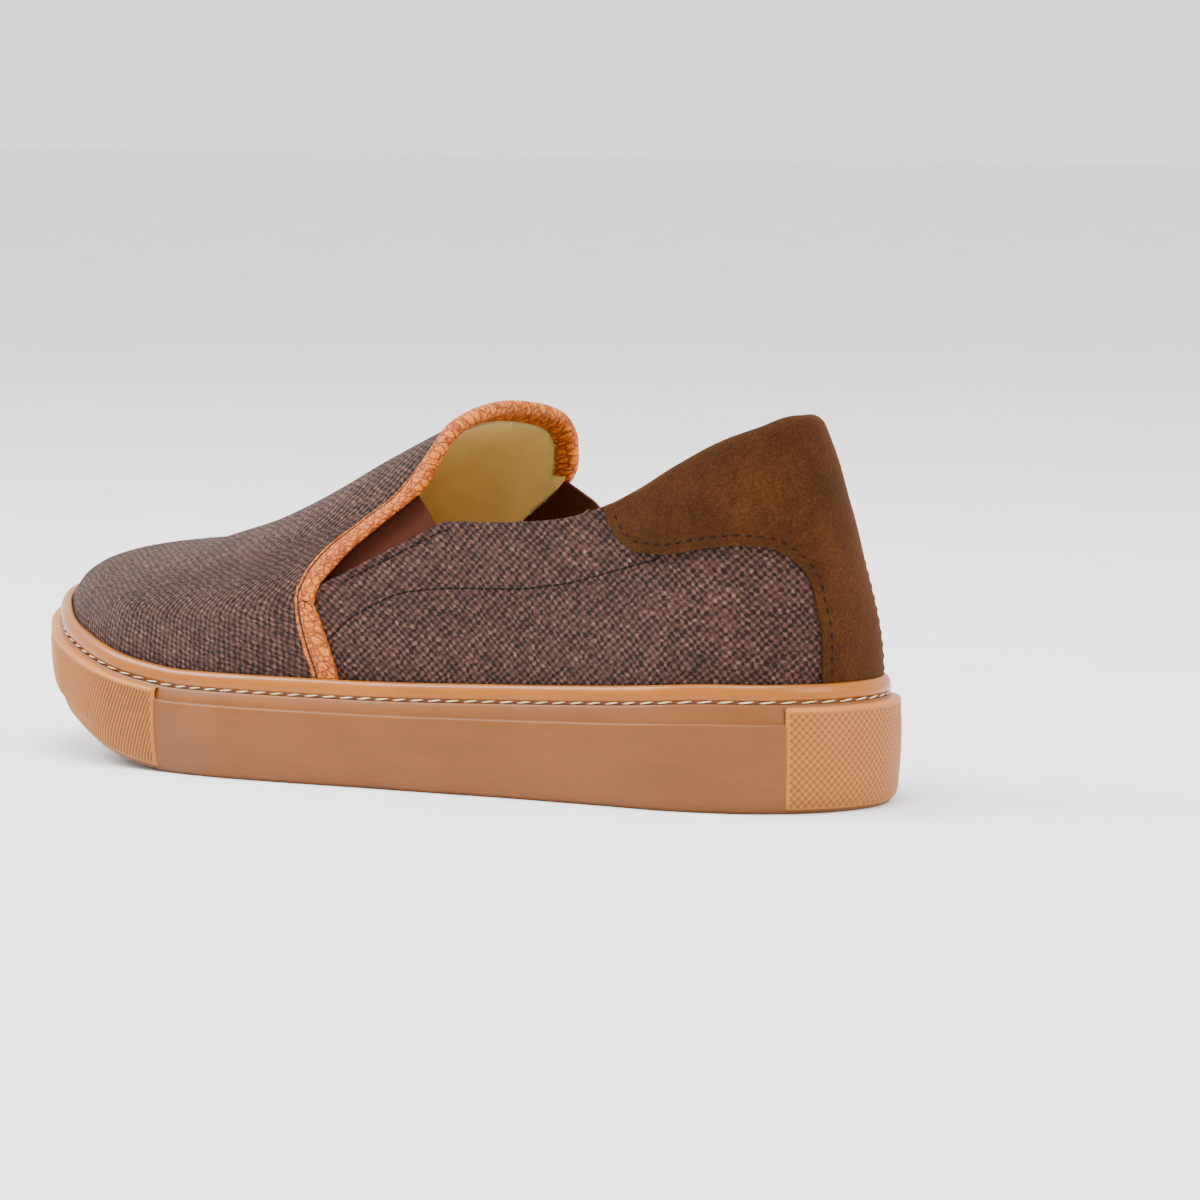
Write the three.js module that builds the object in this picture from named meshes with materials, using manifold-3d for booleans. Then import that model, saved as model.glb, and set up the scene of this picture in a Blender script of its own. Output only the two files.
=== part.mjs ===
import * as THREE from 'three';
import { mergeVertices } from 'three/addons/utils/BufferGeometryUtils.js';
import Module from 'manifold-3d';

// A left slip-on sneaker: a canvas upper with two elastic gores, a suede heel counter and a leather
// binding, sewn into a rubber cup sole. Millimetres, +Z up, +X towards the toe, +Y towards the
// shoe's outer side. While it is shaped, x is 0 at the heel and z is 0 on the floor.

// Driving sizes of the cup sole
const soleLength = 292;
const ballWidth = 107;
const heelWidth = 81;
const heelRim = 34.5; // height of the lip above the tread, at the heel
const ballRim = 29.3; // the same at the ball
const toeRim = 28.0; // the same at the toe
const toeSpring = 18; // lift of the tread at the toe's tip
const heelBed = 13.5; // height of the foot bed above the tread, at the heel
const ballBed = 10.5; // the same at the ball
const treadRoll = 3; // how far the wall runs in at the tread
const stepDepth = 0.85; // ledge along the wall
const bandLean = 1.3; // how far the band over the ledge runs in
const grooveDepth = 1.0; // groove that holds the lockstitch
const grooveWidth = 1.2;
const lipHeight = 4;
const lipWidth = 1.5; // top of the lip
const toeTreadRoll = 7; // how far the wall runs in at the tread, at the toe
const panelProud = 0.6; // knurled panels at toe and heel
const heelPanelReach = 11; // how far along the shoe the heel's panel comes
const toePanelReach = 83; // the same from the toe's tip
const panelDrop = 7.5; // top of the panels, below the rim
const treadInset = 12; // plain border round the lugs of the tread
const treadDepth = 1.8; // depth of the grooves between the lugs
const treadGroove = 2.2; // width of the grooves
const treadPitch = 11; // from one groove to the next

// Driving sizes of the insole
const insoleThickness = 4;

// Driving sizes of the upper
const upperWall = 2.2;
const upperInset = 5.7; // from the wall's bulge in to the upper, at the lip
const featherTuck = 4; // how far the upper turns in down to the foot bed
const instepHeight = 105; // top of the vamp at the mouth, above the floor
const heelHeight = 107; // top of the heel tab, above the floor
const ridgeBack = 40; // rear end of the form's top line, from the heel
const ridgeFront = 28; // front end of the form's top line, from the toe

// Driving sizes of what is sewn to the upper
const suedeThickness = 1.3;
const padBulge = 1.2; // how far the padded collar stands out past the suede
const padDepth = 2.2; // how far the collar's roll reaches in past the wall
const padHeight = 11; // depth of the collar's roll below the top line
const padCap = 2.6; // suede over the top edge of the wall
const bindingThickness = 1.7;
const bindingRoll = 2.6; // how far the binding rolls back past the edge at the mouth
const goreThickness = 1;
const goreSet = 0.7; // how far the gores lie below the canvas

// Clearance between pieces that meet
const gap = 0.3;

// How far the cutting shapes run past the shoe
const reach = 30;

// Fineness of the faceted surfaces
const stationsPerSide = 32;

// Outline of the sole seen from above. along is a share of the length. The half width is heel times
// heelWidth plus ball times ballWidth, and swing moves the middle, as a share of ballWidth.
const outlineRows = [
  { along: 0, heel: 0, ball: 0, swing: 0 },
  { along: 0.025, heel: 0.265, ball: 0, swing: 0 },
  { along: 0.085, heel: 0.432, ball: 0, swing: 0.001 },
  { along: 0.167, heel: 0.497, ball: 0, swing: 0.007 },
  { along: 0.3, heel: 0.4, ball: 0.076, swing: 0.028 },
  { along: 0.433, heel: 0.27, ball: 0.205, swing: 0.044 },
  { along: 0.567, heel: 0.08, ball: 0.402, swing: 0.042 },
  { along: 0.667, heel: 0, ball: 0.498, swing: 0.026 },
  { along: 0.775, heel: 0, ball: 0.493, swing: 0.007 },
  { along: 0.873, heel: 0, ball: 0.418, swing: -0.026 },
  { along: 0.94, heel: 0, ball: 0.289, swing: -0.055 },
  { along: 0.983, heel: 0, ball: 0.156, swing: -0.075 },
  { along: 1, heel: 0, ball: 0, swing: -0.083 },
];

// Heights along the sole. heel and toe blend the rim and the bed from their size at the ball to
// their size at the heel and the toe, and spring is a share of toeSpring.
const heightRows = [
  { along: 0, heel: 1, toe: 0, spring: 0 },
  { along: 0.08, heel: 1, toe: 0, spring: 0 },
  { along: 0.22, heel: 0.58, toe: 0, spring: 0 },
  { along: 0.33, heel: 0.29, toe: 0, spring: 0 },
  { along: 0.5, heel: 0.02, toe: 0, spring: 0 },
  { along: 0.69, heel: 0, toe: 0, spring: 0 },
  { along: 0.753, heel: 0, toe: 0.1, spring: 0.1 },
  { along: 0.805, heel: 0, toe: 0.3, spring: 0.27 },
  { along: 0.86, heel: 0, toe: 0.6, spring: 0.48 },
  { along: 0.918, heel: 0, toe: 0.85, spring: 0.72 },
  { along: 0.962, heel: 0, toe: 0.95, spring: 0.87 },
  { along: 1, heel: 0, toe: 1, spring: 1 },
];

// Top line of the form, as a share of heelHeight at the heel and instepHeight from the mouth on.
// Behind the mouth it only closes the form. sway is its place across, as a share of ballWidth.
const ridgeRows = [
  { along: 0.13, top: 1.18, sway: 0.002 },
  { along: 0.24, top: 1.14, sway: 0.004 },
  { along: 0.34, top: 1.08, sway: 0.01 },
  { along: 0.435, top: 0.981, sway: 0.013 },
  { along: 0.476, top: 0.928, sway: 0.014 },
  { along: 0.524, top: 0.863, sway: 0.014 },
  { along: 0.568, top: 0.798, sway: 0.012 },
  { along: 0.616, top: 0.734, sway: 0.008 },
  { along: 0.661, top: 0.682, sway: 0.003 },
  { along: 0.709, top: 0.638, sway: -0.004 },
  { along: 0.743, top: 0.607, sway: -0.01 },
  { along: 0.78, top: 0.592, sway: -0.018 },
  { along: 0.82, top: 0.581, sway: -0.027 },
  { along: 0.86, top: 0.563, sway: -0.037 },
  { along: 0.9, top: 0.535, sway: -0.047 },
];

// Sections of the form. low, mid and high are how far the wall has leaned in over to the top line
// at 38, 71 and 92 percent of the way up, as shares of the whole way in. inner is the lean of the
// inner side as a share of the outer side's.
const sectionRows = [
  { along: 0, low: 0.15, mid: 0.395, high: 0.72, inner: 1 },
  { along: 0.12, low: 0.14, mid: 0.37, high: 0.68, inner: 1 },
  { along: 0.22, low: 0.1, mid: 0.33, high: 0.64, inner: 0.97 },
  { along: 0.32, low: 0.05, mid: 0.28, high: 0.58, inner: 0.78 },
  { along: 0.42, low: 0.04, mid: 0.2, high: 0.44, inner: 0.45 },
  { along: 0.52, low: 0.05, mid: 0.2, high: 0.46, inner: 0.62 },
  { along: 0.68, low: 0.06, mid: 0.24, high: 0.53, inner: 0.9 },
  { along: 0.8, low: 0.07, mid: 0.26, high: 0.57, inner: 1 },
  { along: 0.92, low: 0.09, mid: 0.3, high: 0.62, inner: 1 },
  { along: 1, low: 0.11, mid: 0.33, high: 0.65, inner: 1 },
];

// Lines drawn on the side of the shoe. along is a share of the length, and up is the share of the
// way from the rim to the top of the heel tab or, further forward, to the top of the instep.
const collarRows = [
  { along: 0.078, up: 1.0 },
  { along: 0.104, up: 0.951 },
  { along: 0.134, up: 0.895 },
  { along: 0.167, up: 0.81 },
  { along: 0.202, up: 0.711 },
  { along: 0.241, up: 0.635 },
  { along: 0.282, up: 0.596 },
  { along: 0.347, up: 0.583 },
  { along: 0.405, up: 0.584 },
];
const mouthRows = [
  { along: 0.445, up: 0.694 },
  { along: 0.436, up: 0.802 },
  { along: 0.433, up: 0.872 },
  { along: 0.436, up: 1.1 },
];
const goreTipRow = { along: 0.536, up: 0.339 };
const vampEdgeRows = [
  { along: 0.515, up: 0.451 },
  { along: 0.482, up: 0.563 },
];
const bindingFootRows = [
  { along: 0.511, up: 0.012 },
  { along: 0.52, up: 0.105 },
  { along: 0.532, up: 0.213 },
  { along: 0.5395, up: 0.283 },
];
const bindingFrontRows = [
  { along: 0.457, up: 1.1 },
  { along: 0.451, up: 0.867 },
  { along: 0.455, up: 0.799 },
  { along: 0.47, up: 0.69 },
  { along: 0.507, up: 0.57 },
  { along: 0.54, up: 0.464 },
  { along: 0.557, up: 0.371 },
  { along: 0.563, up: 0.298 },
  { along: 0.56, up: 0.225 },
  { along: 0.549, up: 0.101 },
  { along: 0.539, up: 0.012 },
];
const counterRows = [
  { along: 0.244, up: 0.7 },
  { along: 0.235, up: 0.649 },
  { along: 0.224, up: 0.575 },
  { along: 0.208, up: 0.511 },
  { along: 0.19, up: 0.477 },
  { along: 0.164, up: 0.47 },
  { along: 0.131, up: 0.49 },
  { along: 0.096, up: 0.504 },
  { along: 0.073, up: 0.495 },
  { along: 0.056, up: 0.451 },
  { along: 0.044, up: 0.378 },
  { along: 0.037, up: 0.268 },
  { along: 0.031, up: 0.121 },
  { along: 0.03, up: 0.006 },
];

// Monotone cubic through one column of a table, so that no section runs past its rows
function column(rows, name, place = (row) => row.along) {
  const xs = rows.map(place);
  const ys = rows.map((row) => row[name]);
  const last = xs.length - 1;
  const slopes = xs.slice(1).map((x, i) => (ys[i + 1] - ys[i]) / (x - xs[i]));
  const tangents = xs.map((x, i) => {
    if (i === 0) return slopes[0];
    if (i === last) return slopes[last - 1];
    if (slopes[i - 1] * slopes[i] <= 0) return 0;
    const before = x - xs[i - 1];
    const after = xs[i + 1] - x;
    const weighted = (2 * after + before) / slopes[i - 1] + (after + 2 * before) / slopes[i];
    return (3 * (before + after)) / weighted;
  });
  return (value) => {
    const at = THREE.MathUtils.clamp(value, xs[0], xs[last]);
    let i = 0;
    while (i < last - 1 && at > xs[i + 1]) i += 1;
    const width = xs[i + 1] - xs[i];
    const s = (at - xs[i]) / width;
    const rise = s * s * (3 - 2 * s);
    const bend = s * (1 - s);
    const curl = width * bend * ((1 - s) * tangents[i] - s * tangents[i + 1]);
    return ys[i] * (1 - rise) + ys[i + 1] * rise + curl;
  };
}

// A share of the length turned into a turn from 0 at the heel to 1 at the toe, and back
const turnAt = (along) => Math.acos(1 - 2 * along) / Math.PI;
const alongAt = (turn) => (1 - Math.cos(Math.PI * turn)) / 2;

const heelShare = column(outlineRows, 'heel', (row) => turnAt(row.along));
const ballShare = column(outlineRows, 'ball', (row) => turnAt(row.along));
const swingShare = column(outlineRows, 'swing', (row) => turnAt(row.along));
const heelBlend = column(heightRows, 'heel');
const toeBlend = column(heightRows, 'toe');
const springShare = column(heightRows, 'spring');
const ridgeShare = column(ridgeRows, 'top');
const ridgeSway = column(ridgeRows, 'sway');
const mouthBlend = column(
  [
    { along: 0.2, mouth: 0 },
    { along: 0.42, mouth: 1 },
  ],
  'mouth',
);
const leanLow = column(sectionRows, 'low');
const leanMid = column(sectionRows, 'mid');
const leanHigh = column(sectionRows, 'high');
const innerShare = column(sectionRows, 'inner');

// Heights of the sole over the floor at a place along it
const springAt = (x) => toeSpring * springShare(x / soleLength);
const rimAt = (x) => springAt(x) + ballRim
  + (heelRim - ballRim) * heelBlend(x / soleLength)
  + (toeRim - ballRim) * toeBlend(x / soleLength);
const bedAt = (x) => springAt(x) + ballBed + (heelBed - ballBed) * heelBlend(x / soleLength);

// Height that the side lines and the top line are shares of
const heightAt = (x) => THREE.MathUtils.lerp(heelHeight, instepHeight, mouthBlend(x / soleLength));

// A place round the shoe, u from 0 at the heel along the inner side to 1 at the toe and back along
// the outer side to 2
function placeAt(u) {
  const around = THREE.MathUtils.euclideanModulo(u, 2);
  return around <= 1 ? { turn: around, sign: -1 } : { turn: 2 - around, sign: 1 };
}

function outlinePoint(u) {
  const { turn, sign } = placeAt(u);
  const half = heelShare(turn) * heelWidth + ballShare(turn) * ballWidth;
  return new THREE.Vector2(alongAt(turn) * soleLength, swingShare(turn) * ballWidth + sign * half);
}

// The outline moved in by a distance
function insetPoint(u, inset) {
  const step = 0.004;
  const tangent = outlinePoint(u + step).sub(outlinePoint(u - step)).normalize();
  const outward = new THREE.Vector2(tangent.y, -tangent.x);
  return outlinePoint(u).addScaledVector(outward, -inset);
}

// How far in a section has leaned, v from 0 at the rim to 1 at the top line
function leanAt(along, v, sign) {
  const share = sign < 0 ? innerShare(along) : 1;
  const rows = [
    { along: -0.1, lean: 0 },
    { along: 0, lean: 0 },
    { along: 0.25, lean: leanLow(along) * share },
    { along: 0.5, lean: leanMid(along) * share },
    { along: 0.75, lean: THREE.MathUtils.lerp(leanHigh(along), leanHigh(along) * share, 0.7) },
    { along: 1, lean: 1 },
  ];
  return column(rows, 'lean')(v);
}

// How far the wall has tucked in below the rim, from 0 at the rim to 1 at the bed
const tuckAt = column(
  [
    { along: 0, tuck: 0 },
    { along: 0.45, tuck: 0.06 },
    { along: 0.8, tuck: 0.4 },
    { along: 1, tuck: 1 },
  ],
  'tuck',
);

// A point of the form: v from -1 at the bed over 0 at the rim to 1 at the top line
function formPoint(u, v) {
  const { turn, sign } = placeAt(u);
  const along = alongAt(turn);
  if (v < 0) {
    const low = insetPoint(u, upperInset + featherTuck * tuckAt(-v));
    return new THREE.Vector3(low.x, low.y, THREE.MathUtils.lerp(rimAt(low.x), bedAt(low.x), -v));
  }
  const foot = insetPoint(u, upperInset);
  const ridgeX = THREE.MathUtils.lerp(ridgeBack, soleLength - ridgeFront, along);
  const ridgeY = ridgeSway(ridgeX / soleLength) * ballWidth;
  const rim = rimAt(foot.x);
  const top = ridgeShare(ridgeX / soleLength) * heightAt(ridgeX);
  const lean = leanAt(along, v, sign);
  return new THREE.Vector3(
    THREE.MathUtils.lerp(foot.x, ridgeX, lean),
    THREE.MathUtils.lerp(foot.y, ridgeY, lean),
    THREE.MathUtils.lerp(rim, top, Math.sin((v * Math.PI) / 2)),
  );
}

// The outward direction of the form at a point
function formNormal(u, v) {
  const step = 0.01;
  const level = Math.min(v, 0.97);
  if (level <= -0.9) {
    const out = insetPoint(u, 0).sub(insetPoint(u, 1));
    return new THREE.Vector3(out.x, out.y, 0).normalize();
  }
  const round = formPoint(u + step, level).sub(formPoint(u - step, level));
  const up = formPoint(u, level + step).sub(formPoint(u, level - step));
  return round.cross(up).normalize();
}

function formOffset(u, v, offset) {
  const normal = formNormal(u, v);
  if (v >= 1) {
    normal.add(formNormal(-u, v)).normalize();
  }
  return formPoint(u, v).addScaledVector(normal, offset);
}

// A closed body lofted through rings of equal count. Each ring runs from the heel round the inner
// side, and a cap joins its two sides across.
function loftGeometry(rings) {
  const count = rings[0].length;
  const positions = rings.flat().flatMap((point) => point.toArray());
  const faces = [];
  for (let r = 0; r + 1 < rings.length; r += 1) {
    for (let i = 0; i < count; i += 1) {
      const a = r * count + i;
      const b = r * count + ((i + 1) % count);
      faces.push(a, b, b + count, a, b + count, a + count);
    }
  }
  const cap = (start, up) => {
    for (let i = 0; i < count / 2; i += 1) {
      const a = start + i;
      const b = start + i + 1;
      const c = start + ((count - i - 1) % count);
      const d = start + ((count - i) % count);
      if (b !== c) faces.push(...(up ? [a, b, c] : [a, c, b]));
      if (a !== d) faces.push(...(up ? [a, c, d] : [a, d, c]));
    }
  };
  cap(0, false);
  cap((rings.length - 1) * count, true);
  const geometry = new THREE.BufferGeometry();
  geometry.setAttribute('position', new THREE.Float32BufferAttribute(positions, 3));
  geometry.setIndex(faces);
  return geometry;
}

const stations = Array.from({ length: 2 * stationsPerSide }, (_, i) => i / stationsPerSide);

const formLevels = [-1, -0.8, -0.4, 0, 0.12, 0.24, 0.35, 0.46, 0.57, 0.68, 0.79, 0.9, 1];

const wasm = await Module();
wasm.setup();

function solid(geometry) {
  const bare = geometry.index ? geometry : geometry.clone();
  bare.deleteAttribute('normal');
  bare.deleteAttribute('uv');
  const merged = mergeVertices(bare, 1e-4);
  return new wasm.Manifold(new wasm.Mesh({
    numProp: 3,
    vertProperties: new Float32Array(merged.attributes.position.array),
    triVerts: new Uint32Array(merged.index.array),
  }));
}

function meshFrom(name, body, look) {
  const { vertProperties, triVerts } = body.simplify(0.01).getMesh();
  const geometry = new THREE.BufferGeometry();
  geometry.setAttribute('position', new THREE.BufferAttribute(new Float32Array(vertProperties), 3));
  geometry.setIndex(new THREE.BufferAttribute(new Uint32Array(triVerts), 1));
  geometry.computeVertexNormals();
  const mesh = new THREE.Mesh(geometry, new THREE.MeshStandardMaterial({ metalness: 0, ...look }));
  mesh.name = name;
  return mesh;
}

// The form grown by an offset, which may change with the place, and with its floor lowered
function formSolid(offset, drop = 0) {
  const offsetAt = typeof offset === 'function' ? offset : () => offset;
  const rings = formLevels.map((v) => stations.map((u) => {
    const point = formOffset(u, v, offsetAt(u, v));
    if (v === -1) point.z -= drop;
    return point;
  }));
  return solid(loftGeometry(rings));
}

// The skin of the form between two offsets
const skin = (outer, inner) => formSolid(outer).subtract(formSolid(inner, reach));

// A point of a side line, moved up by a lift
function sidePoint({ along, up }, lift = 0) {
  const x = along * soleLength;
  return new THREE.Vector2(x, THREE.MathUtils.lerp(rimAt(x), heightAt(x), up) + lift);
}

const sideLine = (rows, lift = 0) => rows.map((row) => sidePoint(row, lift));

// A prism through the shoe with an outline drawn on its side, from one y to another
function sidePrism(outline, from, to, fineness = 2) {
  const geometry = new THREE.ExtrudeGeometry(outline, {
    depth: to - from,
    bevelEnabled: false,
    curveSegments: fineness,
  });
  geometry.rotateX(Math.PI / 2);
  geometry.translate(0, to, 0);
  return solid(geometry);
}

function sideBox(x0, x1, z0, z1, from, to) {
  const geometry = new THREE.BoxGeometry(x1 - x0, to - from, z1 - z0);
  geometry.translate((x0 + x1) / 2, (from + to) / 2, (z0 + z1) / 2);
  return solid(geometry);
}

// An outline made of smooth runs joined by straight ones
function runsShape(...runs) {
  const shape = new THREE.Shape();
  runs.forEach((run, i) => {
    if (i === 0) shape.moveTo(run[0].x, run[0].y);
    else shape.lineTo(run[0].x, run[0].y);
    if (run.length > 2) shape.splineThru(run.slice(1));
    else run.slice(1).forEach((point) => shape.lineTo(point.x, point.y));
  });
  shape.closePath();
  return shape;
}

const above = heelHeight * 1.4;
const wide = ballWidth;
const corner = (x, z) => [new THREE.Vector2(x, z)];
const openLine = sideLine(collarRows);
const paddedFront = openLine[5]; // where the suede and its padded roll end
const mouthLine = sideLine(mouthRows);
const vampEdge = [sidePoint(goreTipRow), ...sideLine(vampEdgeRows), mouthLine[0]];

// What is open over the collar and the mouth, with the top line lifted and the mouth moved back
function openingSolid(lift, back = 0) {
  const collar = sideLine(collarRows, lift);
  const mouthLine = sideLine(mouthRows).map((point) => point.setX(point.x - back));
  const first = collar[0];
  const last = collar[collar.length - 1];
  const shape = runsShape(
    corner(-reach, first.y),
    collar,
    [new THREE.Vector2(last.x, last.y), mouthLine[0]],
    mouthLine,
    corner(mouthLine[mouthLine.length - 1].x, above),
    corner(-reach, above),
  );
  return sidePrism(shape, -wide, wide);
}

const opening = openingSolid(0);

// A closed outline drawn in by a margin on all sides
function insetOutline(points, margin) {
  const winding = Math.sign(THREE.ShapeUtils.area(points));
  const count = points.length;
  return points.map((point, i) => {
    const before = point.clone().sub(points[(i + count - 1) % count]).normalize();
    const after = points[(i + 1) % count].clone().sub(point).normalize();
    const inward = new THREE.Vector2(-before.y - after.y, before.x + after.x).normalize();
    const mitre = inward.dot(new THREE.Vector2(-after.y, after.x));
    return point.clone().addScaledVector(inward, (winding * margin) / Math.max(mitre, 0.15));
  });
}

// Three-cornered outline of the notch that a gore fills, from the quarter's top edge to the tip and
// back along the edge of the vamp
const goreEdge = new THREE.SplineCurve(vampEdge).getPoints(10);
const goreOutline = [openLine[openLine.length - 1], ...goreEdge];

// The notch as a cutter, open at its top
function notchSolid() {
  const rear = goreOutline[0];
  const front = goreOutline[goreOutline.length - 1];
  const lift = new THREE.Vector2(0, 1);
  const outline = [...goreOutline, front.clone().add(lift), rear.clone().add(lift)];
  return sidePrism(new THREE.Shape(outline), -wide, wide);
}

// Cup sole

function soleRing(profile) {
  return stations.map((u) => {
    const x = outlinePoint(u).x;
    const height = rimAt(x) - springAt(x);
    const roll = THREE.MathUtils.lerp(treadRoll, toeTreadRoll, toeBlend(x / soleLength));
    const { inset, rise } = profile(height, roll);
    const point = insetPoint(u, inset);
    return new THREE.Vector3(point.x, point.y, springAt(x) + rise);
  });
}

const bandFoot = stepDepth;
const bandHead = stepDepth + bandLean;
const lipTop = upperInset - gap - lipWidth;
const wallProfiles = [
  (height, roll) => ({ inset: roll, rise: 0 }),
  (height, roll) => ({ inset: roll * 0.62, rise: roll * 0.35 }),
  (height, roll) => ({ inset: roll * 0.3, rise: roll * 1.3 }),
  (height, roll) => ({ inset: roll * 0.08, rise: height * 0.32 }),
  (height) => ({ inset: 0, rise: height * 0.55 }),
  (height) => ({ inset: 0.1, rise: height * 0.7 }),
  (height) => ({ inset: bandFoot, rise: height * 0.7 + stepDepth * 0.4 }),
  (height) => ({
    inset: THREE.MathUtils.lerp(bandFoot, bandHead, 0.35),
    rise: (height * 0.7 + height - lipHeight - grooveWidth) / 2,
  }),
  (height) => ({ inset: bandHead, rise: height - lipHeight - grooveWidth }),
  (height) => ({ inset: bandHead + grooveDepth, rise: height - lipHeight - grooveWidth * 0.9 }),
  (height) => ({ inset: bandHead + grooveDepth, rise: height - lipHeight - grooveWidth * 0.1 }),
  (height) => ({ inset: THREE.MathUtils.lerp(bandHead, lipTop, 0.15), rise: height - lipHeight }),
  (height) => ({ inset: THREE.MathUtils.lerp(bandHead, lipTop, 0.3), rise: height - lipHeight * 0.5 }),
  (height) => ({ inset: THREE.MathUtils.lerp(bandHead, lipTop, 0.6), rise: height - lipHeight * 0.15 }),
  (height) => ({ inset: lipTop, rise: height }),
];

const panelProfiles = [
  (height, roll) => ({ inset: roll + 1, rise: roll * 0.5 }),
  (height, roll) => ({ inset: roll * 0.52 - panelProud * 0.4, rise: roll * 0.52 }),
  (height, roll) => ({ inset: roll * 0.3 - panelProud, rise: roll * 1.3 }),
  (height, roll) => ({ inset: roll * 0.08 - panelProud, rise: height * 0.32 }),
  (height) => ({ inset: -panelProud, rise: height * 0.55 }),
  (height) => ({ inset: 0.1 - panelProud, rise: height * 0.68 }),
  (height) => ({ inset: bandFoot - panelProud, rise: height - panelDrop }),
  (height) => ({ inset: bandHead + 1, rise: height - panelDrop + 0.6 }),
];

function panelSolid() {
  const heelPanel = sideBox(-reach, heelPanelReach, -reach, above, -wide, wide);
  const toePanel = sideBox(soleLength - toePanelReach, soleLength + reach, -reach, above, -wide, wide);
  return solid(loftGeometry(panelProfiles.map(soleRing))).intersect(heelPanel.add(toePanel));
}

// Grooves between the lugs, each a chevron that points to the toe
function treadSolid() {
  const field = solid(loftGeometry([
    soleRing(() => ({ inset: treadInset, rise: -reach })),
    soleRing(() => ({ inset: treadInset, rise: treadDepth })),
  ]));
  const half = ballWidth / 2;
  const sweep = ballWidth * 0.12;
  const count = Math.floor((soleLength - 2 * treadInset) / treadPitch);
  let grooves = null;
  for (let i = 0; i < count; i += 1) {
    const x = treadInset + (i + 0.5) * treadPitch;
    const shape = new THREE.Shape([
      new THREE.Vector2(x - sweep, -half),
      new THREE.Vector2(x + treadGroove - sweep, -half),
      new THREE.Vector2(x + treadGroove, 0),
      new THREE.Vector2(x + treadGroove - sweep, half),
      new THREE.Vector2(x - sweep, half),
      new THREE.Vector2(x, 0),
    ]);
    const bar = new THREE.ExtrudeGeometry(shape, { depth: reach * 2, bevelEnabled: false });
    bar.translate(0, 0, -reach);
    grooves = grooves ? grooves.add(solid(bar)) : solid(bar);
  }
  return grooves.intersect(field);
}

function cupsoleSolid() {
  return solid(loftGeometry(wallProfiles.map(soleRing)))
    .add(panelSolid())
    .subtract(formSolid(gap, gap))
    .subtract(treadSolid());
}

// Insole, laid in the upper on the foot bed
function insoleSolid() {
  const ringAt = (rise, trim) => stations.map((u) => {
    const foot = insetPoint(u, upperInset);
    const down = 1 - rise / (rimAt(foot.x) - bedAt(foot.x));
    const inset = upperInset + upperWall + gap + featherTuck * tuckAt(down) + trim;
    const point = insetPoint(u, inset);
    return new THREE.Vector3(point.x, point.y, bedAt(point.x) + rise);
  });
  const edge = insoleThickness * 0.15;
  return solid(loftGeometry([
    ringAt(0, 0.2),
    ringAt(insoleThickness * 0.4, 0.2),
    ringAt(insoleThickness - edge, 0.2),
    ringAt(insoleThickness, 0.2 + edge),
  ]));
}

// Upper: one canvas shell, open at the collar, at the gores and underneath, with its top edge
// lowered under the suede of the heel
function upperSolid() {
  const padded = sideBox(-reach, paddedFront.x, 0, above, -wide, wide);
  return skin(0, -upperWall)
    .subtract(opening)
    .subtract(openingSolid(-padCap).intersect(padded))
    .subtract(notchSolid());
}

// Suede heel counter, with its padded roll over the collar
function counterSolid() {
  const lower = sideLine(counterRows);
  const region = sidePrism(
    runsShape(lower, corner(-reach, lower[lower.length - 1].y), corner(-reach, above), corner(lower[0].x, above)),
    -wide,
    wide,
  );
  const bulge = (u, v) => {
    const point = formPoint(u, v);
    const swell = THREE.MathUtils.smoothstep(v, 0.42, 0.56);
    return gap + suedeThickness + padBulge * swell * (1 - THREE.MathUtils.smoothstep(point.x, 0, paddedFront.x));
  };
  const roll = formSolid(bulge)
    .subtract(formSolid(-upperWall - padDepth, reach))
    .intersect(openingSolid(-padHeight))
    .intersect(region);
  const wallRoom = formSolid(gap).subtract(formSolid(-upperWall - gap, reach)).subtract(openingSolid(-padCap + gap));
  return formSolid(bulge)
    .subtract(formSolid(gap, reach))
    .intersect(region)
    .add(roll)
    .subtract(opening)
    .subtract(wallRoom);
}

// Leather binding along the edge of the vamp and over the mouth, where it rolls round the edge
function bindingSolid() {
  const foot = sideLine(bindingFootRows);
  const front = sideLine(bindingFrontRows);
  const region = runsShape([...foot, ...vampEdge], mouthLine, front);
  const shift = (distance) => (point) => point.clone().setX(point.x - distance);
  const edge = mouthLine.map((point, i) => (i === 0 ? point.clone().setY(point.y + gap) : point));
  const rolled = runsShape(edge.map(shift(bindingRoll)), edge.map(shift(-gap)).reverse());
  const room = skin(gap, -upperWall - gap).subtract(openingSolid(0, gap));
  return skin(gap + bindingThickness, gap)
    .intersect(sidePrism(region, -wide, wide))
    .add(skin(gap + bindingThickness, -upperWall).intersect(sidePrism(rolled, -wide, wide)))
    .subtract(room);
}

// Elastic gore in the notch of one side
function goreBody(from, to) {
  const outline = new THREE.Shape(insetOutline(goreOutline, gap));
  return skin(-goreSet, -goreSet - goreThickness).intersect(sidePrism(outline, from, to));
}

const canvas = { color: 0x6e5550, roughness: 0.95 };
const suede = { color: 0x73461c, roughness: 0.95 };
const leather = { color: 0xc67c48, roughness: 0.6 };
const elastic = { color: 0x5a2c1a, roughness: 0.9 };
const lining = { color: 0xc8b98c, roughness: 0.85 };
const rubber = { color: 0xc99a66, roughness: 0.45 };

const shoe = new THREE.Group();
shoe.add(
  meshFrom('cupsole', cupsoleSolid(), rubber),
  meshFrom('insole', insoleSolid(), lining),
  meshFrom('upper', upperSolid(), canvas),
  meshFrom('heel_counter', counterSolid(), suede),
  meshFrom('vamp_binding', bindingSolid(), leather),
  meshFrom('gore_lateral', goreBody(0, wide), elastic),
  meshFrom('gore_medial', goreBody(-wide, 0), elastic),
);

// The origin is on the floor, under the middle of the shoe
const extent = new THREE.Box2().setFromPoints(stations.map((u) => outlinePoint(u)));
const middle = extent.getCenter(new THREE.Vector2());
shoe.position.set(-middle.x, -middle.y, 0);

export default shoe;
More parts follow.
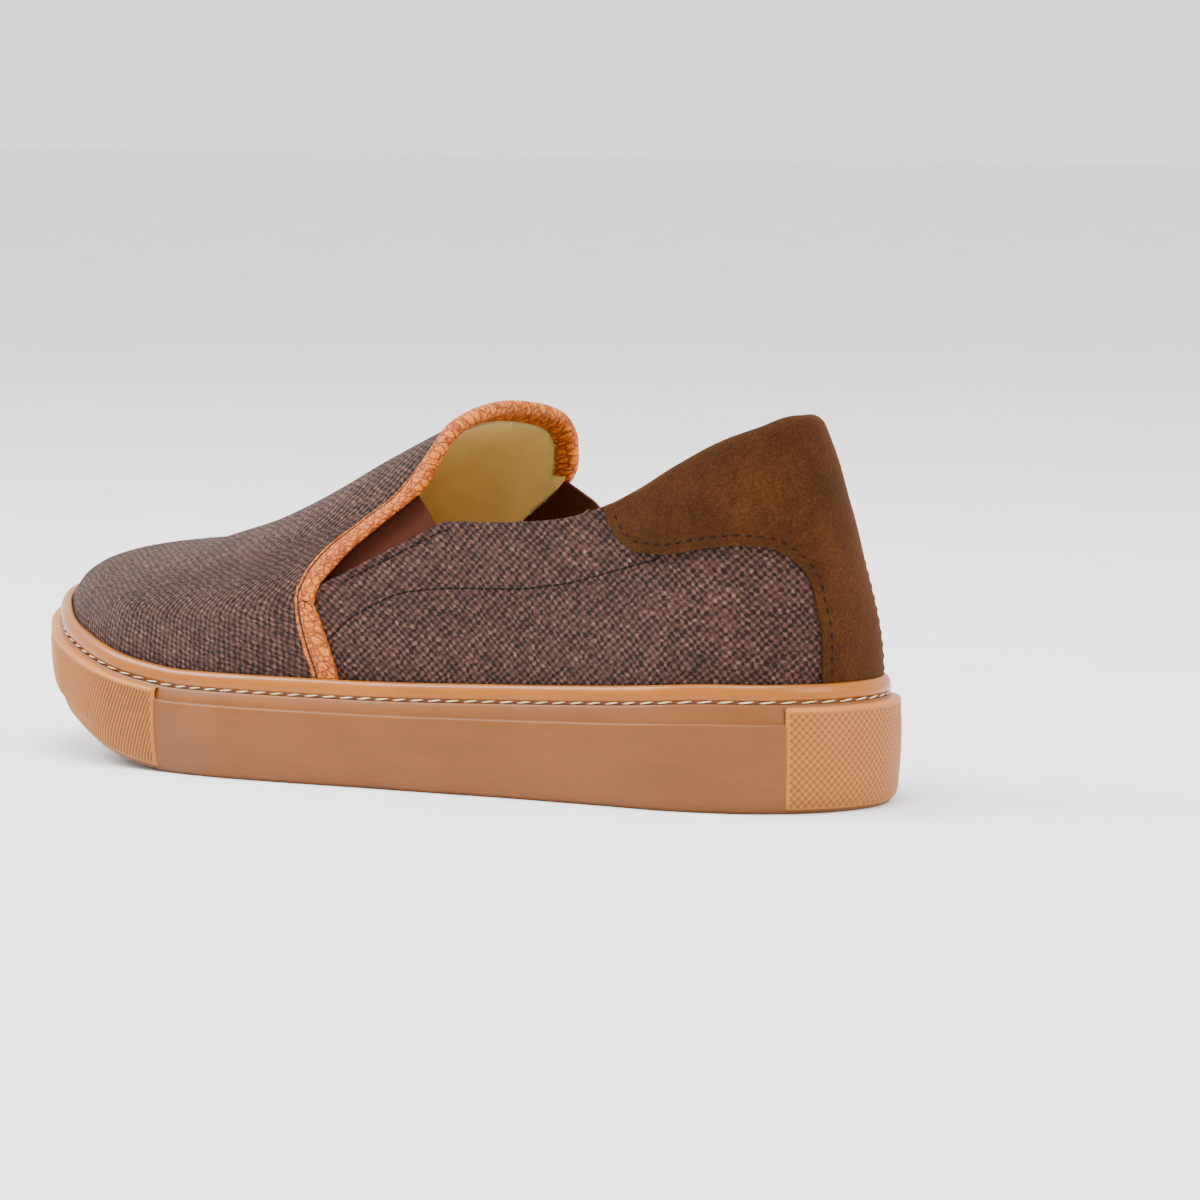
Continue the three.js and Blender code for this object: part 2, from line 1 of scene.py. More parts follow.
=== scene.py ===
"""A left slip-on sneaker: canvas upper, suede heel, leather binding and a rubber cup sole."""

import logging
import math
from dataclasses import dataclass, field
from enum import Enum
from typing import Callable, Sequence

import bpy
import numpy as np
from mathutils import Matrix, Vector


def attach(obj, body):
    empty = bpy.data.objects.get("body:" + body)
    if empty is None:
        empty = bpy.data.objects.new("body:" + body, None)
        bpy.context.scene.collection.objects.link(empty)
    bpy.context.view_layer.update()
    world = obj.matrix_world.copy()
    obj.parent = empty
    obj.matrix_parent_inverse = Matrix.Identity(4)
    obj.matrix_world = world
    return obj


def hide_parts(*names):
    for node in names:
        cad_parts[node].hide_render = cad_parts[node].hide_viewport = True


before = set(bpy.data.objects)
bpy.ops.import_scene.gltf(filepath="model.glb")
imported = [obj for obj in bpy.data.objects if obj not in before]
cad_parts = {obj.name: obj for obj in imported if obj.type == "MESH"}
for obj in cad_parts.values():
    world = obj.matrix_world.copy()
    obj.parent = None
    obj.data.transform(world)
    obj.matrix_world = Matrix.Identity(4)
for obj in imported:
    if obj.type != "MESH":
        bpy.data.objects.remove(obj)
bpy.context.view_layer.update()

MM = 0.001
# Place of the row's origin, in the heel-based millimetres that the shoe is shaped in
ORIGIN = np.array([146.0, 2.0737, 0.0])
# Halvings that close a span on the last to far below a hundredth of a mm
HALVINGS = 40
# Step of level or turn that slopes on the last are taken over
STEP = 0.01
# Level under the sole's rim where the canvas ends
CANVAS_FOOT = -0.9
# Screen colours of the lining's and insole's leather, from dark to light
PALE_LEATHER = ("c9ab68", "d8bb78", "e2c88a")
LOG = logging.getLogger("sneaker")

Array = np.ndarray
Socket = bpy.types.NodeSocket


# Curves and tables

def monotone(places: Array, values: Array, at: Array) -> Array:
    """Runs a monotone cubic through the rows of a table.

    Args:
        places: Ascending places of the rows, of length k.
        values: One value for each row, or a k by n array with its own values for each query.
        at: The n places asked for.

    Returns:
        The n values there.
    """
    at = np.clip(at, places[0], places[-1])
    steps = np.diff(places)
    if values.ndim > 1:
        steps = steps[:, None]
    slopes = np.diff(values, axis=0) / steps
    tangents = np.zeros_like(values)
    tangents[0], tangents[-1] = slopes[0], slopes[-1]
    before, after = slopes[:-1], slopes[1:]
    same = before * after > 0
    safe_before = np.where(same, before, 1.0)
    safe_after = np.where(same, after, 1.0)
    weighted = ((2 * steps[1:] + steps[:-1]) / safe_before
                + (steps[1:] + 2 * steps[:-1]) / safe_after)
    tangents[1:-1] = np.where(same, 3 * (steps[:-1] + steps[1:]) / weighted, 0.0)
    row = np.searchsorted(places[1:-1], at, side="left")
    pick = (row, np.arange(at.size)) if values.ndim > 1 else (row,)
    following = (row + 1, np.arange(at.size)) if values.ndim > 1 else (row + 1,)
    width = places[row + 1] - places[row]
    share = (at - places[row]) / width
    rise = share * share * (3 - 2 * share)
    curl = (1 - share) * tangents[pick] - share * tangents[following]
    return values[pick] * (1 - rise) + values[following] * rise + width * share * (1 - share) * curl


class Column:
    """A monotone cubic through one column of a table."""

    def __init__(self, places: Sequence[float], values: Sequence[float]) -> None:
        """Keeps the rows in ascending order of place."""
        order = np.argsort(places)
        self.places = np.asarray(places, float)[order]
        self.values = np.asarray(values, float)[order]

    def __call__(self, at: Array) -> Array:
        """Returns the values at the places asked for."""
        at = np.asarray(at, float)
        return monotone(self.places, self.values, at.ravel()).reshape(at.shape)


def smooth(low: float, high: float, value: Array) -> Array:
    """Returns a smooth step from 0 at low to 1 at high."""
    share = np.clip((np.asarray(value, float) - low) / (high - low), 0, 1)
    return share * share * (3 - 2 * share)


def lerp(first: Array, second: Array, share: Array) -> Array:
    """Returns the mix of two values."""
    return first + (second - first) * share


def unit(vectors: Array) -> Array:
    """Returns vectors of length one."""
    return vectors / np.maximum(np.linalg.norm(vectors, axis=-1, keepdims=True), 1e-12)


def run_length(points: Array) -> Array:
    """Returns how far along a polyline each of its points lies."""
    return np.concatenate([[0.0], np.cumsum(np.linalg.norm(np.diff(points, axis=0), axis=1))])


def along_line(at: Array, run: Array, line: Array) -> Array:
    """Returns the vectors found at distances along a polyline."""
    return np.stack([np.interp(at, run, line[:, i]) for i in range(3)], -1)


def spaced(line: Array, pitch: float) -> Array:
    """Returns the middles of as many stitches of a pitch as a line has room for."""
    length = run_length(line)[-1]
    count = int(length / pitch)
    return (np.arange(count) + 0.5) * length / count


def close_in(past: Callable[[Array], Array], low: Array, high: Array) -> tuple[Array, Array]:
    """Halves spans until they close on where a test turns true.

    Args:
        past: Tells for places in the spans whether each lies past the one looked for.
        low: Lower ends of the spans.
        high: Upper ends.

    Returns:
        The closed spans' lower and upper ends.
    """
    for _ in range(HALVINGS):
        middle = (low + high) / 2
        over = past(middle)
        high = np.where(over, middle, high)
        low = np.where(over, low, middle)
    return low, high


class Side(Enum):
    """The two sides of the shoe, by the sign of y."""

    INNER = -1
    OUTER = 1

    def around(self, turn: Array) -> Array:
        """Returns u of a turn on this side, a turn being 0 at the heel and 1 at the toe."""
        return turn if self is Side.INNER else 2 - turn


# The last that the shoe is made on

OUTLINE_ROWS = np.array([
    [0, 0, 0, 0], [0.025, 0.265, 0, 0], [0.085, 0.432, 0, 0.001], [0.167, 0.497, 0, 0.007],
    [0.3, 0.4, 0.076, 0.028], [0.433, 0.27, 0.205, 0.044], [0.567, 0.08, 0.402, 0.042],
    [0.667, 0, 0.498, 0.026], [0.775, 0, 0.493, 0.007], [0.873, 0, 0.418, -0.026],
    [0.94, 0, 0.289, -0.055], [0.983, 0, 0.156, -0.075], [1, 0, 0, -0.083],
])
HEIGHT_ROWS = np.array([
    [0, 1, 0, 0], [0.08, 1, 0, 0], [0.22, 0.58, 0, 0], [0.33, 0.29, 0, 0], [0.5, 0.02, 0, 0],
    [0.69, 0, 0, 0], [0.753, 0, 0.1, 0.1], [0.805, 0, 0.3, 0.27], [0.86, 0, 0.6, 0.48],
    [0.918, 0, 0.85, 0.72], [0.962, 0, 0.95, 0.87], [1, 0, 1, 1],
])
RIDGE_ROWS = np.array([
    [0.13, 1.18, 0.002], [0.24, 1.14, 0.004], [0.34, 1.08, 0.01], [0.435, 0.981, 0.013],
    [0.476, 0.928, 0.014], [0.524, 0.863, 0.014], [0.568, 0.798, 0.012], [0.616, 0.734, 0.008],
    [0.661, 0.682, 0.003], [0.709, 0.638, -0.004], [0.743, 0.607, -0.01], [0.78, 0.592, -0.018],
    [0.82, 0.581, -0.027], [0.86, 0.563, -0.037], [0.9, 0.535, -0.047],
])
SECTION_ROWS = np.array([
    [0, 0.15, 0.395, 0.72, 1], [0.12, 0.14, 0.37, 0.68, 1], [0.22, 0.1, 0.33, 0.64, 0.97],
    [0.32, 0.05, 0.28, 0.58, 0.78], [0.42, 0.04, 0.2, 0.44, 0.45], [0.52, 0.05, 0.2, 0.46, 0.62],
    [0.68, 0.06, 0.24, 0.53, 0.9], [0.8, 0.07, 0.26, 0.57, 1], [0.92, 0.09, 0.3, 0.62, 1],
    [1, 0.11, 0.33, 0.65, 1],
])
COLLAR_ROWS = [
    (0.078, 1), (0.104, 0.951), (0.134, 0.895), (0.167, 0.81), (0.202, 0.711), (0.241, 0.635),
    (0.282, 0.596), (0.347, 0.583), (0.405, 0.584),
]
FOOT_ROWS = [(0.5, -0.35), (0.511, 0.012), (0.52, 0.105), (0.532, 0.213), (0.5395, 0.283)]
TIP_ROW = (0.536, 0.339)
VAMP_ROWS = [(0.515, 0.451), (0.482, 0.563)]
MOUTH_ROWS = [(0.445, 0.694), (0.436, 0.802), (0.433, 0.872), (0.436, 1.1)]
FRONT_ROWS = [
    (0.528, -0.35), (0.539, 0.012), (0.549, 0.101), (0.56, 0.225), (0.563, 0.298), (0.557, 0.371),
    (0.54, 0.464), (0.507, 0.57), (0.47, 0.69), (0.455, 0.799), (0.451, 0.867), (0.457, 1.1),
]
COUNTER_ROWS = [
    (0.244, 0.7), (0.235, 0.649), (0.224, 0.575), (0.208, 0.511), (0.19, 0.477), (0.164, 0.47),
    (0.131, 0.49), (0.096, 0.504), (0.073, 0.495), (0.056, 0.451), (0.044, 0.378), (0.037, 0.268),
    (0.031, 0.121), (0.03, 0.006), (0.0295, -0.3),
]
SEAM_ROWS = [
    (0.527, 0.13), (0.519, 0.16), (0.49, 0.248), (0.435, 0.331), (0.38, 0.346), (0.326, 0.345),
    (0.273, 0.363), (0.21, 0.418), (0.17, 0.455),
]


@dataclass
class Last:
    """The form that the upper lies on, with the sole's outline and heights. All sizes are in mm."""

    length: float = 292.0
    ball_width: float = 107.0
    heel_width: float = 81.0
    heel_rim: float = 34.5
    ball_rim: float = 29.3
    toe_rim: float = 28.0
    toe_spring: float = 18.0
    heel_bed: float = 13.5
    ball_bed: float = 10.5
    upper_inset: float = 5.7
    feather_tuck: float = 4.0
    instep_height: float = 105.0
    heel_height: float = 107.0
    ridge_back: float = 40.0
    ridge_front: float = 28.0

    def __post_init__(self) -> None:
        """Turns the tables into curves."""
        turns = np.arccos(1 - 2 * OUTLINE_ROWS[:, 0]) / np.pi
        self.heel_share, self.ball_share, self.swing_share = (
            Column(turns, OUTLINE_ROWS[:, i]) for i in (1, 2, 3)
        )
        self.heel_blend, self.toe_blend, self.spring_share = (
            Column(HEIGHT_ROWS[:, 0], HEIGHT_ROWS[:, i]) for i in (1, 2, 3)
        )
        self.ridge_share, self.ridge_sway = (
            Column(RIDGE_ROWS[:, 0], RIDGE_ROWS[:, i]) for i in (1, 2)
        )
        self.sections = [Column(SECTION_ROWS[:, 0], SECTION_ROWS[:, i]) for i in (1, 2, 3, 4)]
        self.tuck = Column([0, 0.45, 0.8, 1], [0, 0.06, 0.4, 1])

    def spring(self, x: Array) -> Array:
        """Returns the lift of the tread over the floor."""
        return self.toe_spring * self.spring_share(x / self.length)

    def rim(self, x: Array) -> Array:
        """Returns the height of the sole's lip over the floor."""
        share = x / self.length
        heel = (self.heel_rim - self.ball_rim) * self.heel_blend(share)
        toe = (self.toe_rim - self.ball_rim) * self.toe_blend(share)
        return self.spring(x) + self.ball_rim + heel + toe

    def bed(self, x: Array) -> Array:
        """Returns the height of the foot bed over the floor."""
        heel = (self.heel_bed - self.ball_bed) * self.heel_blend(x / self.length)
        return self.spring(x) + self.ball_bed + heel

    def height(self, x: Array) -> Array:
        """Returns the height that the side lines and the top line are shares of."""
        share = np.clip((x / self.length - 0.2) / 0.22, 0, 1)
        return lerp(self.heel_height, self.instep_height, share)

    def outline(self, u: Array) -> Array:
        """Returns the plan of the sole at places round it, u from 0 at the heel to 2 and back."""
        around = np.mod(u, 2)
        turn = np.where(around <= 1, around, 2 - around)
        sign = np.where(around <= 1, -1.0, 1.0)
        half = self.heel_share(turn) * self.heel_width + self.ball_share(turn) * self.ball_width
        x = (1 - np.cos(np.pi * turn)) / 2 * self.length
        return np.stack([x, self.swing_share(turn) * self.ball_width + sign * half], -1)

    def inset(self, u: Array, distance: Array) -> Array:
        """Returns the outline moved in by a distance."""
        tangent = unit(self.outline(u + 0.004) - self.outline(u - 0.004))
        outward = np.stack([tangent[..., 1], -tangent[..., 0]], -1)
        return self.outline(u) - outward * np.asarray(distance)[..., None]

    def lean(self, along: Array, v: Array, inner: Array) -> Array:
        """Returns how far a section has leaned in at a level."""
        low, mid, high, share = (section(along) for section in self.sections)
        share = np.where(inner, share, 1.0)
        nothing = np.zeros_like(along)
        rows = np.stack([nothing, nothing, low * share, mid * share,
                         lerp(high, high * share, 0.7), nothing + 1])
        return monotone(np.array([-0.1, 0, 0.25, 0.5, 0.75, 1]), rows, v)

    def point(self, u: Array, v: Array) -> Array:
        """Returns places on the form.

        Args:
            u: Place round the shoe, 0 at the heel, by the inner side to 1 at the toe, back to 2.
            v: Level, -1 at the bed, 0 at the rim and 1 at the top line.

        Returns:
            The points in heel-based millimetres.
        """
        u, v = np.broadcast_arrays(np.asarray(u, float), np.asarray(v, float))
        shape = u.shape
        u, v = u.ravel(), v.ravel()
        around = np.mod(u, 2)
        inner = around <= 1
        turn = np.where(inner, around, 2 - around)
        along = (1 - np.cos(np.pi * turn)) / 2
        down = np.clip(-v, 0, 1)
        foot = self.inset(u, self.upper_inset + self.feather_tuck * self.tuck(down))
        rim = self.rim(foot[:, 0])
        ridge_x = lerp(self.ridge_back, self.length - self.ridge_front, along)
        ridge_y = self.ridge_sway(ridge_x / self.length) * self.ball_width
        level = np.clip(v, 0, 1)
        lean = self.lean(along, level, inner)
        x = lerp(foot[:, 0], ridge_x, lean)
        up = lerp(rim, self.crest_over(u, x), np.sin(level * np.pi / 2))
        low = lerp(rim, self.bed(foot[:, 0]), down)
        place = np.stack([x, lerp(foot[:, 1], ridge_y, lean), np.where(v < 0, low, up)], -1)
        return place.reshape(shape + (3,))

    def crest(self, x: Array) -> Array:
        """Returns the height of the top line over the floor."""
        return self.ridge_share(x / self.length) * self.height(x)

    def crest_over(self, u: Array, x: Array) -> Array:
        """Returns the height that a section rises to at x; near the toe all of it has one."""
        along = (1 - np.cos(np.pi * (1 - np.abs(1 - np.mod(u, 2))))) / 2
        ridge_x = lerp(self.ridge_back, self.length - self.ridge_front, along)
        return self.crest(lerp(x, ridge_x, smooth(0.55, 0.8, along)))

    def normal(self, u: Array, v: Array) -> Array:
        """Returns the outward direction of the form at places on it."""
        u, v = np.broadcast_arrays(np.asarray(u, float), np.asarray(v, float))

        def one_side(around: Array) -> Array:
            level = np.clip(v, -0.86, 0.96)
            along = self.point(around + STEP, level) - self.point(around - STEP, level)
            rising = self.point(around, level + STEP) - self.point(around, level - STEP)
            return unit(np.cross(along, rising))

        own = one_side(u)
        share = (0.5 * smooth(0.88, 1.0, v))[..., None]
        return unit(own * (1 - share) + one_side(-u) * share)

    def offset(self, u: Array, v: Array, distance: Array) -> Array:
        """Returns places over or under the form."""
        return self.point(u, v) + self.normal(u, v) * np.asarray(distance)[..., None]

    def locate(self, x: Array, z: Array, side: Side) -> tuple[Array, Array]:
        """Finds the places on one side of the form that a point of a side view stands for.

        Args:
            x: Places along the shoe.
            z: Heights over the floor.
            side: Which side of the shoe.

        Returns:
            The u and v of the places.
        """
        x, z = np.broadcast_arrays(np.asarray(x, float), np.asarray(z, float))

        def past(turn: Array) -> Array:
            u = side.around(turn)
            return self.point(u, self.level(u, z))[..., 0] > x

        low, high = close_in(past, np.zeros(x.shape), np.ones(x.shape))
        u = side.around((low + high) / 2)
        return u, self.level(u, z)

    def climb(self, u: Array, v: Array) -> Array:
        """Returns how many mm the form runs to a whole level, just below places on it."""
        return np.linalg.norm(self.point(u, v) - self.point(u, v - STEP), axis=-1) / STEP

    def level(self, u: Array, z: Array) -> Array:
        """Returns the v at which the form reaches a height."""
        foot = self.inset(u, self.upper_inset)
        rim = self.rim(foot[..., 0])
        bed = self.bed(foot[..., 0])
        v = np.full(np.shape(u), 0.5)
        for _ in range(5):
            top = self.crest_over(u, self.point(u, v)[..., 0])
            v = np.arcsin(np.clip((z - rim) / (top - rim), 0, 1)) * 2 / np.pi
        return np.where(z < rim, -np.clip((rim - z) / (rim - bed), 0, 1), v)

    def nearest(self, target: Array, u: Array, v: Array) -> tuple[Array, Array]:
        """Walks places on the form to where they lie nearest to given points."""
        for _ in range(8):
            here = self.point(u, v)
            along = (self.point(u + 1e-4, v) - here) / 1e-4
            rising = (self.point(u, v - 1e-4) - here) / -1e-4
            miss = target - here
            a = (along * along).sum(-1)
            b = (along * rising).sum(-1)
            c = (rising * rising).sum(-1)
            p = (along * miss).sum(-1)
            q = (rising * miss).sum(-1)
            scale = a * c - b * b
            u = u + (c * p - b * q) / scale
            v = np.clip(v + (a * q - b * p) / scale, -0.95, 1)
        return u, v

    def side_point(self, rows: Sequence[tuple[float, float]]) -> Array:
        """Returns the x and z of rows that are shares of the length and of the height."""
        table = np.asarray(rows, float)
        x = table[:, 0] * self.length
        return np.stack([x, lerp(self.rim(x), self.height(x), table[:, 1])], -1)


# Workshop: operators wrapped for one piece at a time

def pick_only(piece: bpy.types.Object) -> None:
    """Selects one object and makes it active."""
    bpy.ops.object.select_all(action="DESELECT")
    piece.select_set(True)
    bpy.context.view_layer.objects.active = piece


def edit(piece: bpy.types.Object, operator: Callable, **options: object) -> None:
    """Runs one mesh operator on all of a piece, in edit mode."""
    pick_only(piece)
    bpy.ops.object.mode_set(mode="EDIT")
    bpy.ops.mesh.select_all(action="SELECT")
    operator(**options)
    bpy.ops.object.mode_set(mode="OBJECT")


def merge_doubles(piece: bpy.types.Object, distance: float = 0.02) -> None:
    """Welds points of a mesh that lie within a distance in mm."""
    edit(piece, bpy.ops.mesh.remove_doubles, threshold=distance * MM)


def face_outwards(piece: bpy.types.Object) -> None:
    """Turns all faces of a closed mesh outwards."""
    edit(piece, bpy.ops.mesh.normals_make_consistent, inside=False)


def face_up(piece: bpy.types.Object) -> None:
    """Turns a sheet over where it faces down."""
    if sum(face.normal.z for face in piece.data.polygons) < 0:
        edit(piece, bpy.ops.mesh.flip_normals)


def thicken(piece: bpy.types.Object, thickness: float) -> None:
    """Gives a sheet its thickness in mm, inwards from its face."""
    pick_only(piece)
    bpy.ops.object.modifier_add(type="SOLIDIFY")
    solidify = piece.modifiers[-1]
    solidify.thickness = thickness * MM
    solidify.offset = -1.0
    bpy.ops.object.modifier_apply(modifier=solidify.name)


def soften(piece: bpy.types.Object, angle: float = 40.0) -> None:
    """Shades a piece smooth, apart from edges sharper than an angle in degrees."""
    pick_only(piece)
    bpy.ops.object.shade_smooth_by_angle(angle=math.radians(angle))


def places_of(mesh: bpy.types.Mesh) -> Array:
    """Returns the places of a mesh's points."""
    flat = np.empty(len(mesh.vertices) * 3)
    mesh.vertices.foreach_get("co", flat)
    return flat.reshape(-1, 3)


def to_frame(points: Array) -> Array:
    """Turns heel-based millimetres into metres of the frame."""
    return (points - ORIGIN) * MM


def add_primitive(name: str, operator: Callable, **options: object) -> bpy.types.Object:
    """Adds one primitive and names it."""
    bpy.ops.object.select_all(action="DESELECT")
    operator(**options)
    piece = bpy.context.active_object
    piece.name = name
    piece.data.name = name
    return piece


def grid_piece(name: str, points: Array, uv: Array,
               tone: Array | None = None) -> bpy.types.Object:
    """Adds a grid and lays it over a table of points.

    Args:
        name: Name of the new piece.
        points: Rows by columns of points, in heel-based mm.
        uv: Rows by columns of places on the cloth, in mm.
        tone: Rows by columns of shares for painted shade, 0 in the depths of the piece, where its
            colour is painted darker, and 1 on its open face.

    Returns:
        The sheet, with faces towards columns cross rows.
    """
    rows, columns = points.shape[:2]
    piece = add_primitive(name, bpy.ops.mesh.primitive_grid_add,
                          x_subdivisions=columns - 1, y_subdivisions=rows - 1, size=1)
    mesh = piece.data
    flat = places_of(mesh)
    column = np.rint((flat[:, 0] + 0.5) * (columns - 1)).astype(int)
    row = np.rint((flat[:, 1] + 0.5) * (rows - 1)).astype(int)
    mesh.vertices.foreach_set("co", to_frame(points[row, column]).ravel())
    corners = np.empty(len(mesh.loops), dtype=np.int32)
    mesh.loops.foreach_get("vertex_index", corners)
    layer = mesh.uv_layers[0]
    layer.name = "Cloth"
    layer.data.foreach_set("uv", uv[row[corners], column[corners]].ravel())
    if tone is not None:
        shares = mesh.attributes.new("Tone", "FLOAT", "POINT")
        shares.data.foreach_set("value", tone[row, column].ravel().astype(np.float32))
    mesh.update()
    return piece


def cloth_uv(points: Array, turn: float = 0.0) -> Array:
    """Measures a sheet of points along its rows and columns.

    Args:
        points: Rows by columns of points in mm.
        turn: Turn of the weave in degrees.

    Returns:
        Rows by columns of places in mm.
    """
    across = np.linalg.norm(np.diff(points, axis=1), axis=2)
    across = np.concatenate([np.zeros((len(points), 1)), np.cumsum(across, axis=1)], axis=1)
    across -= across[:, across.shape[1] // 2][:, None]
    up = np.linalg.norm(np.diff(points, axis=0), axis=2)
    up = np.concatenate([np.zeros((1, points.shape[1])), np.cumsum(up, axis=0)], axis=0)
    angle = math.radians(turn)
    return np.stack([across * math.cos(angle) - up * math.sin(angle),
                     across * math.sin(angle) + up * math.cos(angle)], -1)


def hand_in(piece: bpy.types.Object, slot: str, material: bpy.types.Material,
            *nodes: str) -> bpy.types.Object:
    """Dresses a finished piece and reports it.

    Args:
        piece: The piece.
        slot: The record's material slot; not used.
        material: Its material.
        nodes: CAD nodes that it stands for.

    Returns:
        The piece.
    """
    piece.data.materials.clear()
    piece.data.materials.append(material)
    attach(piece, "root")
    if nodes:
        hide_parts(*nodes)
    LOG.info("%s: %d faces", piece.name, len(piece.data.polygons))
    return piece


# Finishes

def linear(code: str) -> tuple[float, float, float, float]:
    """Turns a six-digit screen colour into scene colour."""
    shares = [int(code[i:i + 2], 16) / 255 for i in (0, 2, 4)]
    values = [s / 12.92 if s <= 0.04045 else ((s + 0.055) / 1.055) ** 2.4 for s in shares]
    return (*values, 1.0)


class Shading:
    """One material's nodes, built by short calls."""

    def __init__(self, name: str, **sockets: float | tuple) -> None:
        """Starts a material whose shader has constant values on its own sockets."""
        self.material = bpy.data.materials.new(name)
        self.material.use_nodes = True
        self.tree = self.material.node_tree
        self.shader = self.tree.nodes["Principled BSDF"]
        names = {socket.name.lower().replace(" ", "_"): socket for socket in self.shader.inputs}
        for key, value in sockets.items():
            names[key].default_value = value

    def node(self, kind: str, inputs: dict, **settings: object) -> bpy.types.Node:
        """Adds a node, with sockets linked or set, and its settings."""
        node = self.tree.nodes.new(kind)
        for key, value in settings.items():
            setattr(node, key, value)
        for key, value in inputs.items():
            if isinstance(value, Socket):
                self.tree.links.new(value, node.inputs[key])
            else:
                node.inputs[key].default_value = value
        return node

    def cloth(self) -> Socket:
        """Returns the piece's own cloth coordinates, in mm."""
        return self.node("ShaderNodeUVMap", {}, uv_map="Cloth").outputs[0]

    def space(self) -> Socket:
        """Returns object coordinates, in mm."""
        place = self.node("ShaderNodeTexCoord", {}).outputs["Object"]
        return self.scaled(place, 1 / MM)

    def toned(self, colour: Socket, deep: str) -> Socket:
        """Returns a colour with painted shade: it darkens to the deep colour where the piece's own
        tone falls.
        """
        tone = self.node("ShaderNodeAttribute", {}, attribute_name="Tone").outputs["Fac"]
        return self.node("ShaderNodeMix", {0: tone, 6: linear(deep), 7: colour},
                         data_type="RGBA").outputs[2]

    def math(self, operation: str, *values: Socket | float) -> Socket:
        """Returns the result of a sum."""
        return self.node("ShaderNodeMath", dict(enumerate(values)), operation=operation).outputs[0]

    def weigh(self, *terms: tuple[Socket, float]) -> Socket:
        """Returns the sum of values, each times its weight."""
        total = None
        for value, weight in terms:
            part = self.math("MULTIPLY", value, weight)
            total = part if total is None else self.math("ADD", total, part)
        return total

    def vector(self, operation: str, *values: Socket | tuple) -> Socket:
        """Returns the result of a sum of vectors."""
        node = self.node("ShaderNodeVectorMath", dict(enumerate(values)), operation=operation)
        return node.outputs[0]

    def scaled(self, place: Socket, factor: float) -> Socket:
        """Returns a vector times a number."""
        node = self.node("ShaderNodeVectorMath", {0: place, 3: factor}, operation="SCALE")
        return node.outputs[0]

    def parts(self, place: Socket) -> list[Socket]:
        """Returns the numbers that a vector is made of."""
        return list(self.node("ShaderNodeSeparateXYZ", {0: place}).outputs)

    def turned(self, place: Socket, angles: tuple[float, float, float]) -> Socket:
        """Returns a vector turned by angles in radians."""
        return self.node("ShaderNodeMapping", {0: place, "Rotation": angles}).outputs[0]

    def ripple(self, value: Socket, length: float) -> Socket:
        """Returns a wave along a value, -1 to 1, with its length in mm."""
        return self.math("SINE", self.math("MULTIPLY", value, 2 * math.pi / length))

    def noise(self, place: Socket, scale: float, detail: float = 2.0, rough: float = 0.5,
              stretch: tuple[float, float, float] | None = None) -> Socket:
        """Returns a noise with so many features to the mm."""
        if stretch:
            place = self.node("ShaderNodeMapping", {0: place, "Scale": stretch}).outputs[0]
        node = self.node("ShaderNodeTexNoise",
                         {"Vector": place, "Scale": scale, "Detail": detail, "Roughness": rough})
        return node.outputs[0]

    def ramp(self, value: Socket, stops: Sequence[tuple[float, str]]) -> Socket:
        """Returns colours picked by a value."""
        node = self.node("ShaderNodeValToRGB", {0: value})
        elements = node.color_ramp.elements
        while len(elements) < len(stops):
            elements.new(0.5)
        for element, (place, code) in zip(elements, stops):
            element.position = place
            element.color = linear(code)
        return node.outputs[0]

    def span(self, value: Socket, low: float, high: float, start: float = 0.0,
             end: float = 1.0) -> Socket:
        """Returns a value mapped from one span to another, and held there."""
        names = {"Value": value, "From Min": low, "From Max": high, "To Min": start, "To Max": end}
        return self.node("ShaderNodeMapRange", names).outputs[0]

    def finish(self, colour: Socket, rough: Socket | None = None, height: Socket | None = None,
               depth: float = 0.1, strength: float = 1.0) -> bpy.types.Material:
        """Links the shader.

        Args:
            colour: Colour of the surface.
            rough: Roughness, where it varies.
            height: Height of the relief, 0 to 1.
            depth: Depth of the relief in mm.
            strength: How strongly the relief shows.

        Returns:
            The material.
        """
        self.tree.links.new(colour, self.shader.inputs["Base Color"])
        if rough is not None:
            self.tree.links.new(rough, self.shader.inputs["Roughness"])
        if height is not None:
            bump = self.node("ShaderNodeBump", {"Strength": strength, "Distance": depth * MM,
                                                "Height": height})
            self.tree.links.new(bump.outputs[0], self.shader.inputs["Normal"])
        return self.material


